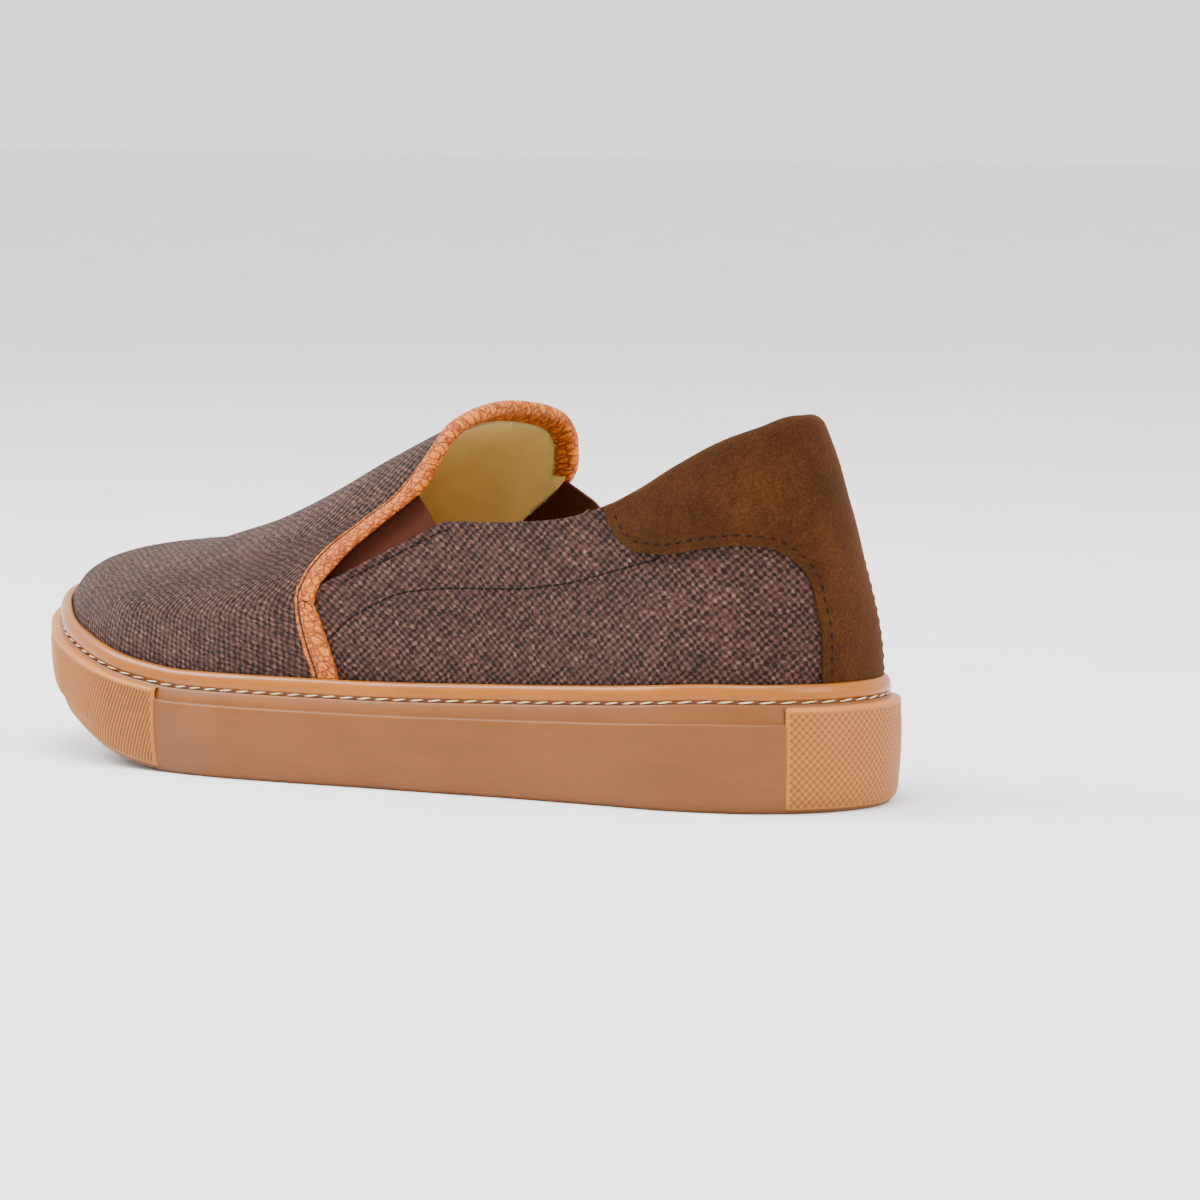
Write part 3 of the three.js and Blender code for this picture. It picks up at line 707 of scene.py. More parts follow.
@dataclass(frozen=True)
class Canvas:
    """Coarse plain-weave canvas. Threads are in mm."""

    name: str
    thread: float = 1.22
    # The near-black gap colour is painted shade between the threads and the light crest colour
    # painted highlight on the nubs; body and bright are the threads' own colours.
    gap_shade: str = "1a0e0b"
    body: str = "4a2f27"
    bright: str = "5a3d33"
    crest: str = "92705f"
    relief: float = 0.38

    def material(self) -> bpy.types.Material:
        """Returns the weave as a material on the cloth's own coordinates, with painted shade in the
        gaps and painted highlight on the crests.
        """
        shade = Shading(self.name, roughness=0.92, specular_ior_level=0.15, sheen_weight=0.06,
                        sheen_roughness=0.5)
        cloth = shade.cloth()
        place = cloth
        for scale, share in ((0.3, 1.9), (1.1, 0.75)):
            drift = shade.node("ShaderNodeTexNoise",
                               {"Vector": cloth, "Scale": scale, "Detail": 1.0})
            centred = shade.vector("SUBTRACT", drift.outputs[1], (0.5, 0.5, 0.5))
            place = shade.vector("ADD", place, shade.scaled(centred, share))
        ways = shade.parts(place)[:2]
        waves = [shade.ripple(way, 2 * self.thread) for way in ways]
        nub = shade.span(shade.math("MULTIPLY", *waves), -0.55, 0.8)
        cells = [shade.math("FLOOR", shade.math("DIVIDE", way, self.thread)) for way in ways]
        cell = shade.node("ShaderNodeCombineXYZ", dict(enumerate(cells))).outputs[0]
        chance = shade.node("ShaderNodeTexWhiteNoise", {"Vector": cell},
                            noise_dimensions="2D").outputs[0]
        fibre = shade.noise(shade.turned(place, (0.0, 0.0, 0.9)), 2.6, 3.0, 0.65, (0.55, 1.7, 1.0))
        low = shade.noise(cloth, 0.05, 3.0)
        slub = shade.noise(cloth, 0.5, 2.0, 0.5, (0.3, 1.0, 1.0))
        uneven = [(shade.math("SUBTRACT", part, 0.5), weight) for part, weight in (
            (chance, 0.24), (fibre, 0.85), (low, 0.2), (slub, 0.35))]
        value = shade.weigh((nub, 0.46), *uneven)
        # Painted shade in the gaps and painted highlight on the crests, by the nub's height, over
        # the threads' own colour and fibre.
        colour = shade.ramp(value, [(0.0, self.gap_shade), (0.3, self.body), (0.52, self.bright),
                                    (0.8, self.crest)])
        relief = shade.weigh((nub, 1.0), (fibre, 0.6))
        return shade.finish(colour, None, relief, self.relief, 1.0)


@dataclass(frozen=True)
class Nap:
    """Brushed suede."""

    name: str
    dark: str = "271303"
    body: str = "361c05"
    light: str = "4c2b0e"

    def material(self) -> bpy.types.Material:
        """Returns mottled nap on object coordinates."""
        shade = Shading(self.name, roughness=0.95, specular_ior_level=0.12, sheen_weight=0.12,
                        sheen_roughness=0.4, sheen_tint=linear("d08a4a"))
        place = shade.space()
        nap = shade.noise(place, 1.1, 4.0, 0.7)
        brushed = shade.noise(place, 0.09, 3.0, 0.55, (1.0, 1.0, 0.6))
        fine = shade.noise(place, 4.5, 2.0, 0.6)
        value = shade.weigh((nap, 0.45), (brushed, 0.22), (fine, 0.33))
        colour = shade.ramp(value, [(0.36, self.dark), (0.5, self.body), (0.64, self.light)])
        relief = shade.weigh((nap, 1.0), (fine, 0.6))
        return shade.finish(colour, None, relief, 0.12, 0.8)


@dataclass(frozen=True)
class Grain:
    """Grained leather for the binding."""

    name: str
    dark: str = "561f04"
    body: str = "b2560a"
    light: str = "de8524"
    # Dark colour of the crease beside the canvas: partly the stitch line there, partly painted
    # shade in its groove.
    seam: str = "2e1206"

    def material(self) -> bpy.types.Material:
        """Returns cellular grain with creases across the band, and painted shade in the crease
        beside the canvas.
        """
        shade = Shading(self.name, roughness=0.55, specular_ior_level=0.25)
        cloth = shade.cloth()
        bent = shade.node("ShaderNodeTexNoise",
                          {"Vector": cloth, "Scale": 0.9, "Detail": 3.0}).outputs[1]
        place = shade.node("ShaderNodeMix", {0: 0.35, 4: cloth, 5: bent},
                           data_type="VECTOR").outputs[1]
        crevices = [shade.span(shade.node("ShaderNodeTexVoronoi", {"Vector": place, "Scale": scale},
                                          feature="DISTANCE_TO_EDGE").outputs[0], 0.0, width)
                    for scale, width in ((0.75, 0.2), (1.9, 0.3))]
        creases = shade.noise(cloth, 1.0, 3.0, 0.6, (1.9, 0.4, 1.0))
        tone = shade.noise(cloth, 0.35, 4.0, 0.6)
        value = shade.weigh((crevices[0], 0.34), (crevices[1], 0.2), (creases, 0.5), (tone, 0.3))
        colour = shade.ramp(value, [(0.38, self.dark), (0.72, self.body), (1.0, self.light)])
        # Painted shade: the crease beside the canvas is coloured dark, over the stitch line's own
        # dark.
        colour = shade.toned(colour, self.seam)
        rough = shade.span(value, 0.38, 1.0, 0.62, 0.45)
        relief = shade.weigh((crevices[0], 0.7), (creases, 0.8), (crevices[1], 0.3))
        return shade.finish(colour, rough, relief, 0.3, 1.0)


@dataclass(frozen=True)
class Moulded:
    """Moulded rubber."""

    name: str
    dark: str
    body: str
    light: str
    rough: float = 0.5
    coat: float = 0.0
    grain: float = 0.03
    # Colour of painted shade where a piece's tone falls, such as the knurl's valleys; empty for
    # none
    deep: str = ""

    def material(self) -> bpy.types.Material:
        """Returns cloudy rubber with fine specks, and painted shade where the piece's tone falls.
        """
        shade = Shading(self.name, roughness=self.rough, specular_ior_level=0.25,
                        coat_weight=self.coat, coat_roughness=0.2)
        place = shade.space()
        cloud = shade.noise(place, 0.025, 3.0, 0.5)
        streak = shade.noise(place, 0.12, 3.0, 0.6, (0.4, 0.4, 2.2))
        speck = shade.noise(place, 2.4, 2.0, 0.6)
        value = shade.weigh((cloud, 0.5), (streak, 0.35), (speck, 0.15))
        colour = shade.ramp(value, [(0.36, self.dark), (0.5, self.body), (0.66, self.light)])
        if self.deep:
            colour = shade.toned(colour, self.deep)
        rough = shade.span(streak, 0.3, 0.7, self.rough - 0.05, self.rough + 0.07)
        return shade.finish(colour, rough, speck, self.grain, 0.5)


@dataclass(frozen=True)
class Ribbed:
    """Ribbed elastic webbing. The pitches of its ribs and picks are in mm."""

    name: str
    pitch: float = 0.62
    pick: float = 0.6
    dark: str = "160703"
    body: str = "3f1a0a"
    light: str = "5b2b13"

    def material(self) -> bpy.types.Material:
        """Returns fine ribs across the elastic."""
        shade = Shading(self.name, roughness=0.85, specular_ior_level=0.12)
        cloth = shade.cloth()
        across, along, _ = shade.parts(cloth)
        rib = shade.span(shade.ripple(across, self.pitch), -1.0, 1.0)
        pick = shade.ripple(along, self.pick)
        relief = shade.weigh((rib, 1.0), (pick, 0.12))
        fibre = shade.noise(cloth, 2.0, 3.0, 0.6)
        value = shade.weigh((rib, 0.55), (fibre, 0.5))
        colour = shade.ramp(value, [(0.15, self.dark), (0.55, self.body), (0.95, self.light)])
        return shade.finish(colour, None, relief, 0.2, 0.8)


@dataclass(frozen=True)
class Twill:
    """Lining leather and thread; the pitch of the ribs is in mm, 0 for a plain face."""

    name: str
    dark: str
    body: str
    light: str
    pitch: float = 0.45
    relief: float = 0.08
    rough: float = 0.9

    def material(self) -> bpy.types.Material:
        """Returns mottled leather or thread, with slanted ribs where it has a pitch."""
        shade = Shading(self.name, roughness=self.rough, specular_ior_level=0.12)
        place = shade.space()
        tone = shade.noise(place, 0.06, 3.0)
        fibre = shade.noise(place, 2.5, 3.0, 0.6)
        value = shade.weigh((tone, 0.5), (fibre, 0.5))
        relief = fibre
        if self.pitch:
            rib = shade.ripple(shade.parts(shade.turned(place, (0.6, 0.8, 0.3)))[0], self.pitch)
            value = shade.weigh((value, 1.0), (rib, 0.07))
            relief = shade.weigh((rib, 1.0), (fibre, 1.0))
        colour = shade.ramp(value, [(0.3, self.dark), (0.5, self.body), (0.72, self.light)])
        return shade.finish(colour, None, relief, self.relief, 0.6)


# Parts of the upper

@dataclass
class EdgeLines:
    """The seams and edges of the upper, each a curve of the side view."""

    last: Last

    def __post_init__(self) -> None:
        """Turns the rows into curves."""
        edge = self.last.side_point(FOOT_ROWS + [TIP_ROW] + VAMP_ROWS + MOUTH_ROWS)
        self.edge = Column(edge[:, 1], edge[:, 0])
        front = self.last.side_point(FRONT_ROWS)
        self.front = Column(front[:, 1], front[:, 0])
        collar = self.last.side_point(COLLAR_ROWS)
        tip = self.last.side_point([TIP_ROW])[0]
        fine = np.linspace(collar[-1, 0], tip[0], 12)[1:]
        ends = np.stack([collar[-1], tip])
        straight = np.stack([fine, np.interp(fine, ends[:, 0], ends[:, 1])], -1)
        table = np.concatenate([[[-30.0, collar[0, 1]], [10.0, collar[0, 1]]], collar, straight])
        self.top = Column(table[:, 0], table[:, 1])
        self.tip = tip
        self.collar_end = collar[-1]
        self.mouth_low = self.last.side_point([MOUTH_ROWS[0]])[0]
        self.setback = {
            Side.INNER: Column([38, 52, 68, 76, 86, 95, 100, 103.5],
                               [0, -0.7, -0.7, 1.0, 3.2, 3.0, 2.4, 1.8]),
            Side.OUTER: Column([38, 52, 68, 76, 90, 98, 103.5],
                               [0, -0.7, -0.9, -0.8, -0.6, 0.2, 1.8]),
        }

    def recess(self, u: Array, v: Array) -> Array:
        """Returns how far the back of the heel leans in towards the collar, in mm."""
        place = self.last.point(u, v)
        drop = self.top(place[..., 0]) - place[..., 2]
        return 2.7 * (1 - smooth(2, 42, drop)) * (1 - smooth(8, 42, place[..., 0]))

    def edge_at(self, z: Array, side: Side) -> Array:
        """Returns where the vamp's edge lies along the shoe, at heights over the floor."""
        return self.edge(z) - self.setback[side](z)

    def front_at(self, z: Array, side: Side) -> Array:
        """Returns where the binding's front edge lies along the shoe."""
        narrowing = 0.9 * smooth(58, 80, z) + 1.2 * smooth(80, 96, z)
        return self.front(z) - 0.55 * self.setback[side](z) - narrowing

    def edge_turn(self, level: Array, side: Side, front: bool = False) -> Array:
        """Returns how far round the vamp's edge, or the binding's front edge, lies at levels."""
        curve = self.front_at if front else self.edge_at

        def past(turn: Array) -> Array:
            place = self.last.point(side.around(turn), level)
            return place[..., 0] > curve(place[..., 2], side)

        low, high = close_in(past, np.full(level.shape, 0.2), np.full(level.shape, 0.9))
        return (low + high) / 2

    def top_line(self, side: Side, count: int = 240) -> tuple[Array, Array]:
        """Returns the turn and level of the collar's line, from the back of the heel to the tip."""

        def past(level: Array) -> Array:
            place = self.last.point(0 * level, level)
            return place[:, 2] > self.top(place[:, 0])

        low, _ = close_in(past, np.zeros(1), np.ones(1))
        start = self.last.point(np.zeros(1), low)[0, 0]
        x = np.concatenate([np.linspace(start + 0.02, 30, 40),
                            np.linspace(30, self.tip[0], count)[1:]])
        u, v = self.last.locate(x, self.top(x), side)
        return np.concatenate([[0.0], side.around(u)]), np.concatenate([low, v])


def both_sides(build: Callable[[Side], tuple[Array, Array]],
               through_toe: bool) -> tuple[Array, Array]:
    """Joins the tables of the two sides in one sheet, in rising order of u.

    Args:
        build: Gives turns and levels of one side, rows by columns, from the shared edge outwards.
        through_toe: True where the sides meet at the toe, False at the heel.

    Returns:
        u and v, rows by columns.
    """
    inner_turn, inner_level = build(Side.INNER)
    outer_turn, outer_level = build(Side.OUTER)
    if through_toe:
        u = np.concatenate([inner_turn[:, ::-1], 2 - outer_turn[:, 1:]], axis=1)
        return u, np.concatenate([inner_level[:, ::-1], outer_level[:, 1:]], axis=1)
    u = np.concatenate([-outer_turn[:, :0:-1], inner_turn], axis=1)
    return u, np.concatenate([outer_level[:, :0:-1], inner_level], axis=1)


@dataclass
class Upper:
    """Canvas vamp and quarters, their lining and the gores. Sizes are in mm, turns in degrees."""

    last: Last
    lines: EdgeLines
    canvas_thickness: float = 1.1
    lining_depth: float = 1.15
    lining_thickness: float = 1.05
    gore_depth: float = 0.7
    gore_thickness: float = 1.0
    under_roll: float = 4.5
    lining_margin: float = 4.5
    quarter_turn: float = 9.0
    rows: int = 64
    columns: int = 110
    canvas: Canvas = field(default_factory=lambda: Canvas("canvas_weave"))
    lining: Twill = field(default_factory=lambda: Twill(
        "lining_leather", *PALE_LEATHER, 0.0))
    elastic: Ribbed = field(default_factory=lambda: Ribbed("gore_elastic"))

    def vamp_places(self, margin: float = 0.0) -> tuple[Array, Array]:
        """Returns u and v of the vamp; a margin in mm draws it in above the outer gore's tip."""
        levels = np.concatenate([[CANVAS_FOOT, -0.6, -0.3, -0.12],
                                 np.linspace(0, 1, self.rows) ** 0.94])
        shares = np.linspace(0, 1, self.columns)

        def one_side(side: Side) -> tuple[Array, Array]:
            edge = self.lines.edge_turn(levels, side)
            if side is Side.OUTER:
                z = self.last.point(2 - edge, levels)[:, 2]
                tip = self.lines.tip[1]
                edge = edge + margin / self.last.length * smooth(tip - 1, tip + 4, z)
            turn = lerp(1.0, edge[:, None], shares[None, :])
            return turn, np.broadcast_to(levels[:, None], turn.shape)

        return both_sides(one_side, through_toe=True)

    def quarter_places(self) -> tuple[Array, Array]:
        """Returns u and v of the quarters, from the tip of one gore round the heel to the other."""
        steps = np.concatenate([np.linspace(0, 0.28, 8)[:-1],
                                np.linspace(0.28, 0.94, self.rows)[:-1], np.linspace(0.94, 1, 9)])
        shares = np.linspace(0, 1, self.columns + 20)

        def one_side(side: Side) -> tuple[Array, Array]:
            turns, tops = self.lines.top_line(side)
            around = side.around(turns)
            hidden = 1 - smooth(50, 68, self.last.point(around, tops)[:, 0])
            tops = tops - self.under_roll * hidden / self.last.climb(around, tops)
            levels = lerp(CANVAS_FOOT, tops[-1], steps)
            edge = self.lines.edge_turn(levels, side)
            edge[-1] = turns[-1]
            top = np.interp(shares * turns[-1], turns, tops)
            turn = edge[:, None] * shares[None, :]
            return turn, lerp(CANVAS_FOOT, top[None, :], steps[:, None])

        return both_sides(one_side, through_toe=False)

    def laid_flat(self, points: Array) -> Array:
        """Lays the vamp's cloth flat: along the top line, then straight down from it."""
        down = np.linalg.norm(np.diff(points[::-1], axis=0), axis=2)
        down = np.concatenate([np.zeros((1, points.shape[1])), np.cumsum(down, axis=0)])[::-1]
        grid = np.linspace(0, self.last.length, 300)
        arc = run_length(np.stack([grid, self.last.crest(grid)], -1))
        top = points[-1]
        way = unit((points[4] - top)[:, :2])
        start = np.stack([np.interp(top[:, 0], grid, arc), top[:, 1]], -1)
        return start[None] + way[None] * down[..., None]

    def hem(self, u: Array, v: Array) -> Array:
        """Returns how far the quarter stands out: in a folded hem above, and back at the heel."""
        place = self.last.point(u, v)
        drop = self.lines.top(place[..., 0]) - place[..., 2]
        fold = 0.5 * (1 - smooth(0.9, 2.1, drop)) * smooth(60, 75, place[..., 0])
        return fold - self.lines.recess(u, v)

    def sheet(self, name: str, u: Array, v: Array, depth: float | Array, thickness: float,
              turn: float | None = None) -> bpy.types.Object:
        """Lays one sheet of cloth on the form and gives it its thickness.

        Args:
            name: Name of the piece.
            u: Places round the shoe, rows by columns.
            v: Levels, rows by columns.
            depth: How far its face lies under the form, in mm.
            thickness: Thickness in mm.
            turn: Turn of the weave in degrees; without it the cloth is laid flat as the vamp's.

        Returns:
            The sheet.
        """
        bare = self.last.point(u, v)
        flat = self.laid_flat(bare) if turn is None else cloth_uv(bare, turn)
        piece = grid_piece(name, self.last.offset(u, v, -depth), flat)
        merge_doubles(piece)
        thicken(piece, thickness)
        soften(piece)
        return piece

    def gore(self, side: Side) -> bpy.types.Object:
        """Lays the elastic gore of one side in its notch."""
        lines = self.lines
        steps = np.linspace(0, 1, 34)[:, None]
        shares = np.linspace(0, 1, 40)[None, :]
        heights = lerp(lines.tip[1] - 1.0, lines.mouth_low[1] + 0.5, steps[:, 0])
        front = np.stack([lines.edge_at(heights, side) + 3.0, heights], -1)
        tuck = [-7.0, -1.5] if side is Side.INNER else [-1.0, -4.5]
        rear = lerp(lines.tip[None, :] + [0.0, -4.0], lines.collar_end[None, :] + tuck, steps)
        x = lerp(rear[:, 0][:, None], front[:, 0][:, None], shares)
        z = lerp(rear[:, 1][:, None], front[:, 1][:, None], shares)
        u, v = self.last.locate(x, z, side)
        if side is Side.OUTER:
            u, v = u[:, ::-1], v[:, ::-1]
        sunk = smooth(0.15, 0.75, shares) if side is Side.OUTER else 1 - smooth(0.0, 0.4, shares)
        depth = np.broadcast_to(self.gore_depth + 1.7 * sunk, u.shape)
        points = self.last.offset(u, v, -(depth[:, ::-1] if side is Side.OUTER else depth))
        name = "gore_inner" if side is Side.INNER else "gore_outer"
        piece = grid_piece(name, points, cloth_uv(points))
        thicken(piece, self.gore_thickness)
        soften(piece)
        return piece

    def build(self) -> list[bpy.types.Object]:
        """Makes and dresses the canvas, the lining and the gores."""
        canvas = self.canvas.material()
        lining = self.lining.material()
        elastic = self.elastic.material()
        vamp = self.vamp_places()
        quarter = self.quarter_places()
        cloths = (
            ("canvas_vamp", vamp, 0.0, self.canvas_thickness, None, canvas, ["upper"]),
            ("canvas_quarters", quarter, -self.hem(*quarter), self.canvas_thickness,
             self.quarter_turn, canvas, ["upper"]),
            ("lining_vamp", self.vamp_places(self.lining_margin), self.lining_depth,
             self.lining_thickness, None, lining, []),
            ("lining_quarters", quarter, self.lining_depth + self.lines.recess(*quarter),
             self.lining_thickness, 0.0, lining, []),
        )
        made = [hand_in(self.sheet(name, *places, depth, thickness, turn), "canvas", cloth, *nodes)
                for name, places, depth, thickness, turn, cloth, nodes in cloths]
        for side, node in ((Side.INNER, "gore_medial"), (Side.OUTER, "gore_lateral")):
            made.append(hand_in(self.gore(side), "elastic", elastic, node))
        return made


@dataclass
class Counter:
    """Suede heel counter with its padded roll over the collar. Sizes are in mm."""

    last: Last
    lines: EdgeLines
    lift: float = 0.3
    thickness: float = 1.3
    wall: float = 2.2
    pad_depth: float = 2.2
    pad_height: float = 11.0
    crest: float = 5.4
    front_crest: float = 1.9
    sag: float = 1.1
    inner_spread: float = 4.0
    cloth_thickness: float = 1.1
    suede: Nap = field(default_factory=lambda: Nap("suede_nap"))

    def border(self, side: Side) -> tuple[Array, Array]:
        """Returns turn and level of the counter's lower edge, from the sole up to the collar."""
        rows = self.last.side_point(COUNTER_ROWS)[::-1]
        if side is Side.INNER:
            rows[:, 0] += self.inner_spread * (1 - smooth(16, 40, rows[:, 0]))
        place = Column(rows[:, 0], rows[:, 1])
        x = np.concatenate([np.linspace(rows[0, 0], rows[4, 0], 30)[:-1],
                            np.linspace(rows[4, 0], rows[-1, 0], 400)])
        z = place(x)
        keep = z <= self.lines.top(x) + 0.05
        last_row = np.argmin(keep) if not keep.all() else len(x)
        x, z = x[:last_row], z[:last_row]
        u, v = self.last.locate(x, z, side)
        points = self.last.point(u, v)
        run = run_length(points)
        even = np.linspace(0, run[-1], 150)
        turn = side.around(u)
        return np.interp(even, run, turn), np.interp(even, run, v)

    def rounding(self, turn: Array, top: Array, side: Side) -> Array:
        """Returns how far the roll reaches below the collar's line, in levels."""
        u = turn if side is Side.INNER else -turn
        padded = self.padding(self.last.point(u, top)[..., 0])
        return lerp(self.front_crest, self.crest, padded) / self.last.climb(u, top)

    def padding(self, x: Array) -> Array:
        """Returns how fully the roll is padded, 1 round the heel and 0 at its front ends."""
        return 1 - smooth(40, 70, x)

    def places(self, side: Side) -> tuple[Array, Array]:
        """Returns turn and level of the suede on one side, rows by columns."""
        turn_edge, level_edge = self.border(side)
        turns, tops = self.lines.top_line(side)
        tops = tops - self.rounding(turns, tops, side)
        steps = np.linspace(0, 1, len(turn_edge))
        shares = np.linspace(0, 1, 90)[None, :]
        top = np.interp(shares * turn_edge[-1], turns, tops)
        level_edge = np.minimum(level_edge, np.interp(turn_edge, turns, tops))
        corner_x, corner_z = self.last.side_point([COUNTER_ROWS[9]])[0]
        corner = int(np.argmax(level_edge >= self.last.locate(corner_x, corner_z, side)[1]))
        spine = np.where(steps < steps[corner], level_edge, lerp(
            level_edge[corner], tops[0], (steps - steps[corner]) / (1 - steps[corner])))
        turn = shares * turn_edge[:, None]
        level = lerp(spine[:, None], level_edge[:, None], shares)
        reach = np.clip((steps - steps[corner]) / (1 - steps[corner]), 0, 1)[:, None] ** 1.5
        return turn, level + reach * (top - lerp(spine[-1], level_edge[-1], shares))

    def swell(self, u: Array, v: Array) -> Array:
        """Returns how far the suede's face stands over the form."""
        place = self.last.point(u, v)
        drop = self.lines.top(place[..., 0]) - place[..., 2]
        padded = 1 - smooth(20, 72, place[..., 0])
        roll = 0.9 * (1 - smooth(12, 27, drop))
        waist = 1.4 * np.exp(-(((drop - 39) / 14) ** 2))
        waist *= 1 - smooth(-10, 38, place[..., 0])
        return self.lift + self.thickness + padded * (roll - waist) - self.lines.recess(u, v)

    def build(self) -> list[bpy.types.Object]:
        """Makes and dresses the counter."""
        u, v = both_sides(self.places, through_toe=False)
        outer = self.last.offset(u, v, self.swell(u, v))
        top_u, top_v = u[-1], v[-1]
        place = self.last.point(top_u, top_v)
        normal = self.last.normal(top_u, top_v)
        rising = unit(place - self.last.point(top_u, top_v - STEP))
        reach = self.swell(top_u, top_v)
        padded = self.padding(place[:, 0])
        inner = -(self.wall + lerp(0.5, self.pad_depth, padded)) - self.lines.recess(top_u, top_v)
        radius = (reach - inner) / 2
        crest = lerp(self.front_crest, self.crest - self.sag, padded)
        centre = place + normal * ((reach + inner) / 2)[:, None]
        roll = [centre + normal * (radius * math.cos(a))[:, None]
                + rising * (crest * math.sin(a))[:, None] for a in np.linspace(0, np.pi, 17)[1:]]
        flap = lerp(5.0, self.pad_height, padded) / self.last.climb(top_u, top_v)
        down = [self.last.offset(top_u, top_v - share * flap, inner + 1.2 * share ** 3 * padded)
                for share in (0.15, 0.3, 0.5, 0.7, 0.85, 1.0)]
        points = np.concatenate([outer, np.stack(roll), np.stack(down)])
        piece = grid_piece("suede_counter", points, cloth_uv(points))
        thicken(piece, self.cloth_thickness)
        soften(piece, 50)
        return [hand_in(piece, "suede", self.suede.material(), "heel_counter")]


@dataclass
class Binding:
    """Leather binding along the vamp's edges and over the mouth. Sizes are in mm.

    The rows count points of the profile: those of its crown, the highest one, and those of the
    crease beside the canvas and of the face that the cross seam is sewn through.
    """

    last: Last
    lines: EdgeLines
    fold: float = 5.4
    stations: int = 150
    seam_height: float = 50.0
    crown_rows: int = 11
    ridge_row: int = 9
    crease_rows: tuple[int, int] = (4, 6)
    seam_rows: tuple[int, int] = (6, 16)
    leather: Grain = field(default_factory=lambda: Grain("binding_grain"))
    thread: Twill = field(default_factory=lambda: Twill(
        "seam_thread", "140a06", "20110a", "2e1a10", 0.4, 0.05, 0.8))

    def path(self, side: Side, front: bool) -> tuple[Array, Array]:
        """Returns turn and level of one edge of the binding, from below the lip to the top line."""
        levels = np.concatenate([np.linspace(-0.5, 0, 8)[:-1], np.linspace(0, 1, 400)])
        turn = self.lines.edge_turn(levels, side, front)
        points = self.last.point(side.around(turn), levels)
        run = run_length(points)
        even = np.linspace(0, run[-1], self.stations)
        return np.interp(even, run, turn), np.interp(even, run, levels)

    def sections(self) -> tuple[Array, Array, Array]:
        """Returns the profile as it is at the foot, along a gore and at the mouth.

        Returns:
            Three tables of places past the edge as shares of the width or mm, and heights in mm.
        """
        crown = np.array([[-1, 0.02], [-1, 0.4], [-0.95, 0.6], [-0.88, 0.62], [-0.85, 0.36],
                          [-0.8, 0.36], [-0.76, 0.75], [-0.62, 1.25], [-0.45, 1.65], [-0.28, 1.8],
                          [-0.12, 1.72]])
        angles = np.linspace(np.pi / 2, -np.pi / 2, 9)
        foot_roll = np.stack([0.3 * np.cos(angles), 0.65 + 0.65 * np.sin(angles)], -1)
        gore_roll = np.stack([1.25 * np.cos(angles), 0.45 + 1.1 * np.sin(angles)], -1)
        mouth_roll = np.stack([1.9 * np.cos(angles), -0.55 + 2.0 * np.sin(angles)], -1)
        back = np.linspace(0.2, 1, 6)[:, None]
        foot_back = np.concatenate([-1.2 * back, 0.02 + 0 * back], 1)
        gore_back = np.concatenate([-1.6 * back, -0.66 + 0 * back], 1)
        mouth_back = np.concatenate([-self.fold * back, -2.55 - 0.15 * np.sin(np.pi * back)], 1)
        ends = [np.array([end]) for end in ((-2.2, 0.02), (-2.2, -0.5), (-self.fold - 0.2, -2.25))]
        crown_foot = crown * [1, 0.85]
        crown_foot[-1] = [-0.1, 1.28]
        crown_foot[-2] = [-0.26, 1.5]
        return tuple(np.concatenate(parts) for parts in (
            (crown_foot, foot_roll, foot_back, ends[0]),
            (crown, gore_roll, gore_back, ends[1]),
            (crown, mouth_roll, mouth_back, ends[2]),
        ))

    def one_side(self, side: Side) -> Array:
        """Returns the binding's skin on one side, from the foot up to the top line.

        Args:
            side: Which side of the shoe.

        Returns:
            Stations by points of the profile, in heel-based mm.
        """
        foot, gore, mouth = self.sections()
        (turn, ev), (front_turn, fv) = self.path(side, False), self.path(side, True)
        eu, fu = side.around(turn), side.around(front_turn)
        edge = self.last.point(eu, ev)
        width = np.linalg.norm(edge - self.last.point(fu, fv), axis=1)
        tip, mouth_low = self.lines.tip[1], self.lines.mouth_low[1]
        to_gore = smooth(tip - 2, tip + 5, edge[:, 2])
        to_mouth = smooth(mouth_low - 4, mouth_low + 3, edge[:, 2])
        section = sum(weight[:, None, None] * profile for weight, profile in (
            (1 - to_gore, foot), (to_gore * (1 - to_mouth), gore), (to_gore * to_mouth, mouth)))
        reach, over = section[..., 0].copy(), section[..., 1]
        reach[:, :self.crown_rows] *= width[:, None]
        share = np.clip(-reach / width[:, None], 0, 1.3)
        u = lerp(eu[:, None], fu[:, None], share)
        v = np.clip(lerp(ev[:, None], fv[:, None], share), -0.95, 1)
        beyond = unit(edge - self.last.point(lerp(eu, fu, 0.15), lerp(ev, fv, 0.15)))
        past = np.clip(reach, 0, None)[..., None]
        return self.last.offset(u, v, over) + beyond[:, None, :] * past

    def build(self) -> list[bpy.types.Object]:
        """Makes and dresses the binding."""
        inner, outer = (self.one_side(side) for side in Side)
        points = np.concatenate([inner, outer[-2::-1]]).transpose(1, 0, 2)
        points = np.concatenate([points, points[:1]])
        run = run_length(points[self.ridge_row])
        steps = np.linalg.norm(np.diff(points, axis=0), axis=2).mean(1)
        around = np.concatenate([[0.0], np.cumsum(steps)])
        uv = np.stack(np.broadcast_arrays(run[None, :], around[:, None]), -1)
        # Painted shade in the crease beside the canvas, where the stitch line runs: these rows get
        # the dark seam colour.
        tone = np.ones(points.shape[:2])
        tone[slice(*self.crease_rows)] = 0.0
        piece = grid_piece("leather_binding", points, uv, tone)
        merge_doubles(piece)
        edit(piece, bpy.ops.mesh.fill_holes, sides=0)
        face_outwards(piece)
        soften(piece, 55)
        made = [hand_in(piece, "binding_leather", self.leather.material(), "vamp_binding")]
        return made + self.cross_seam(points)

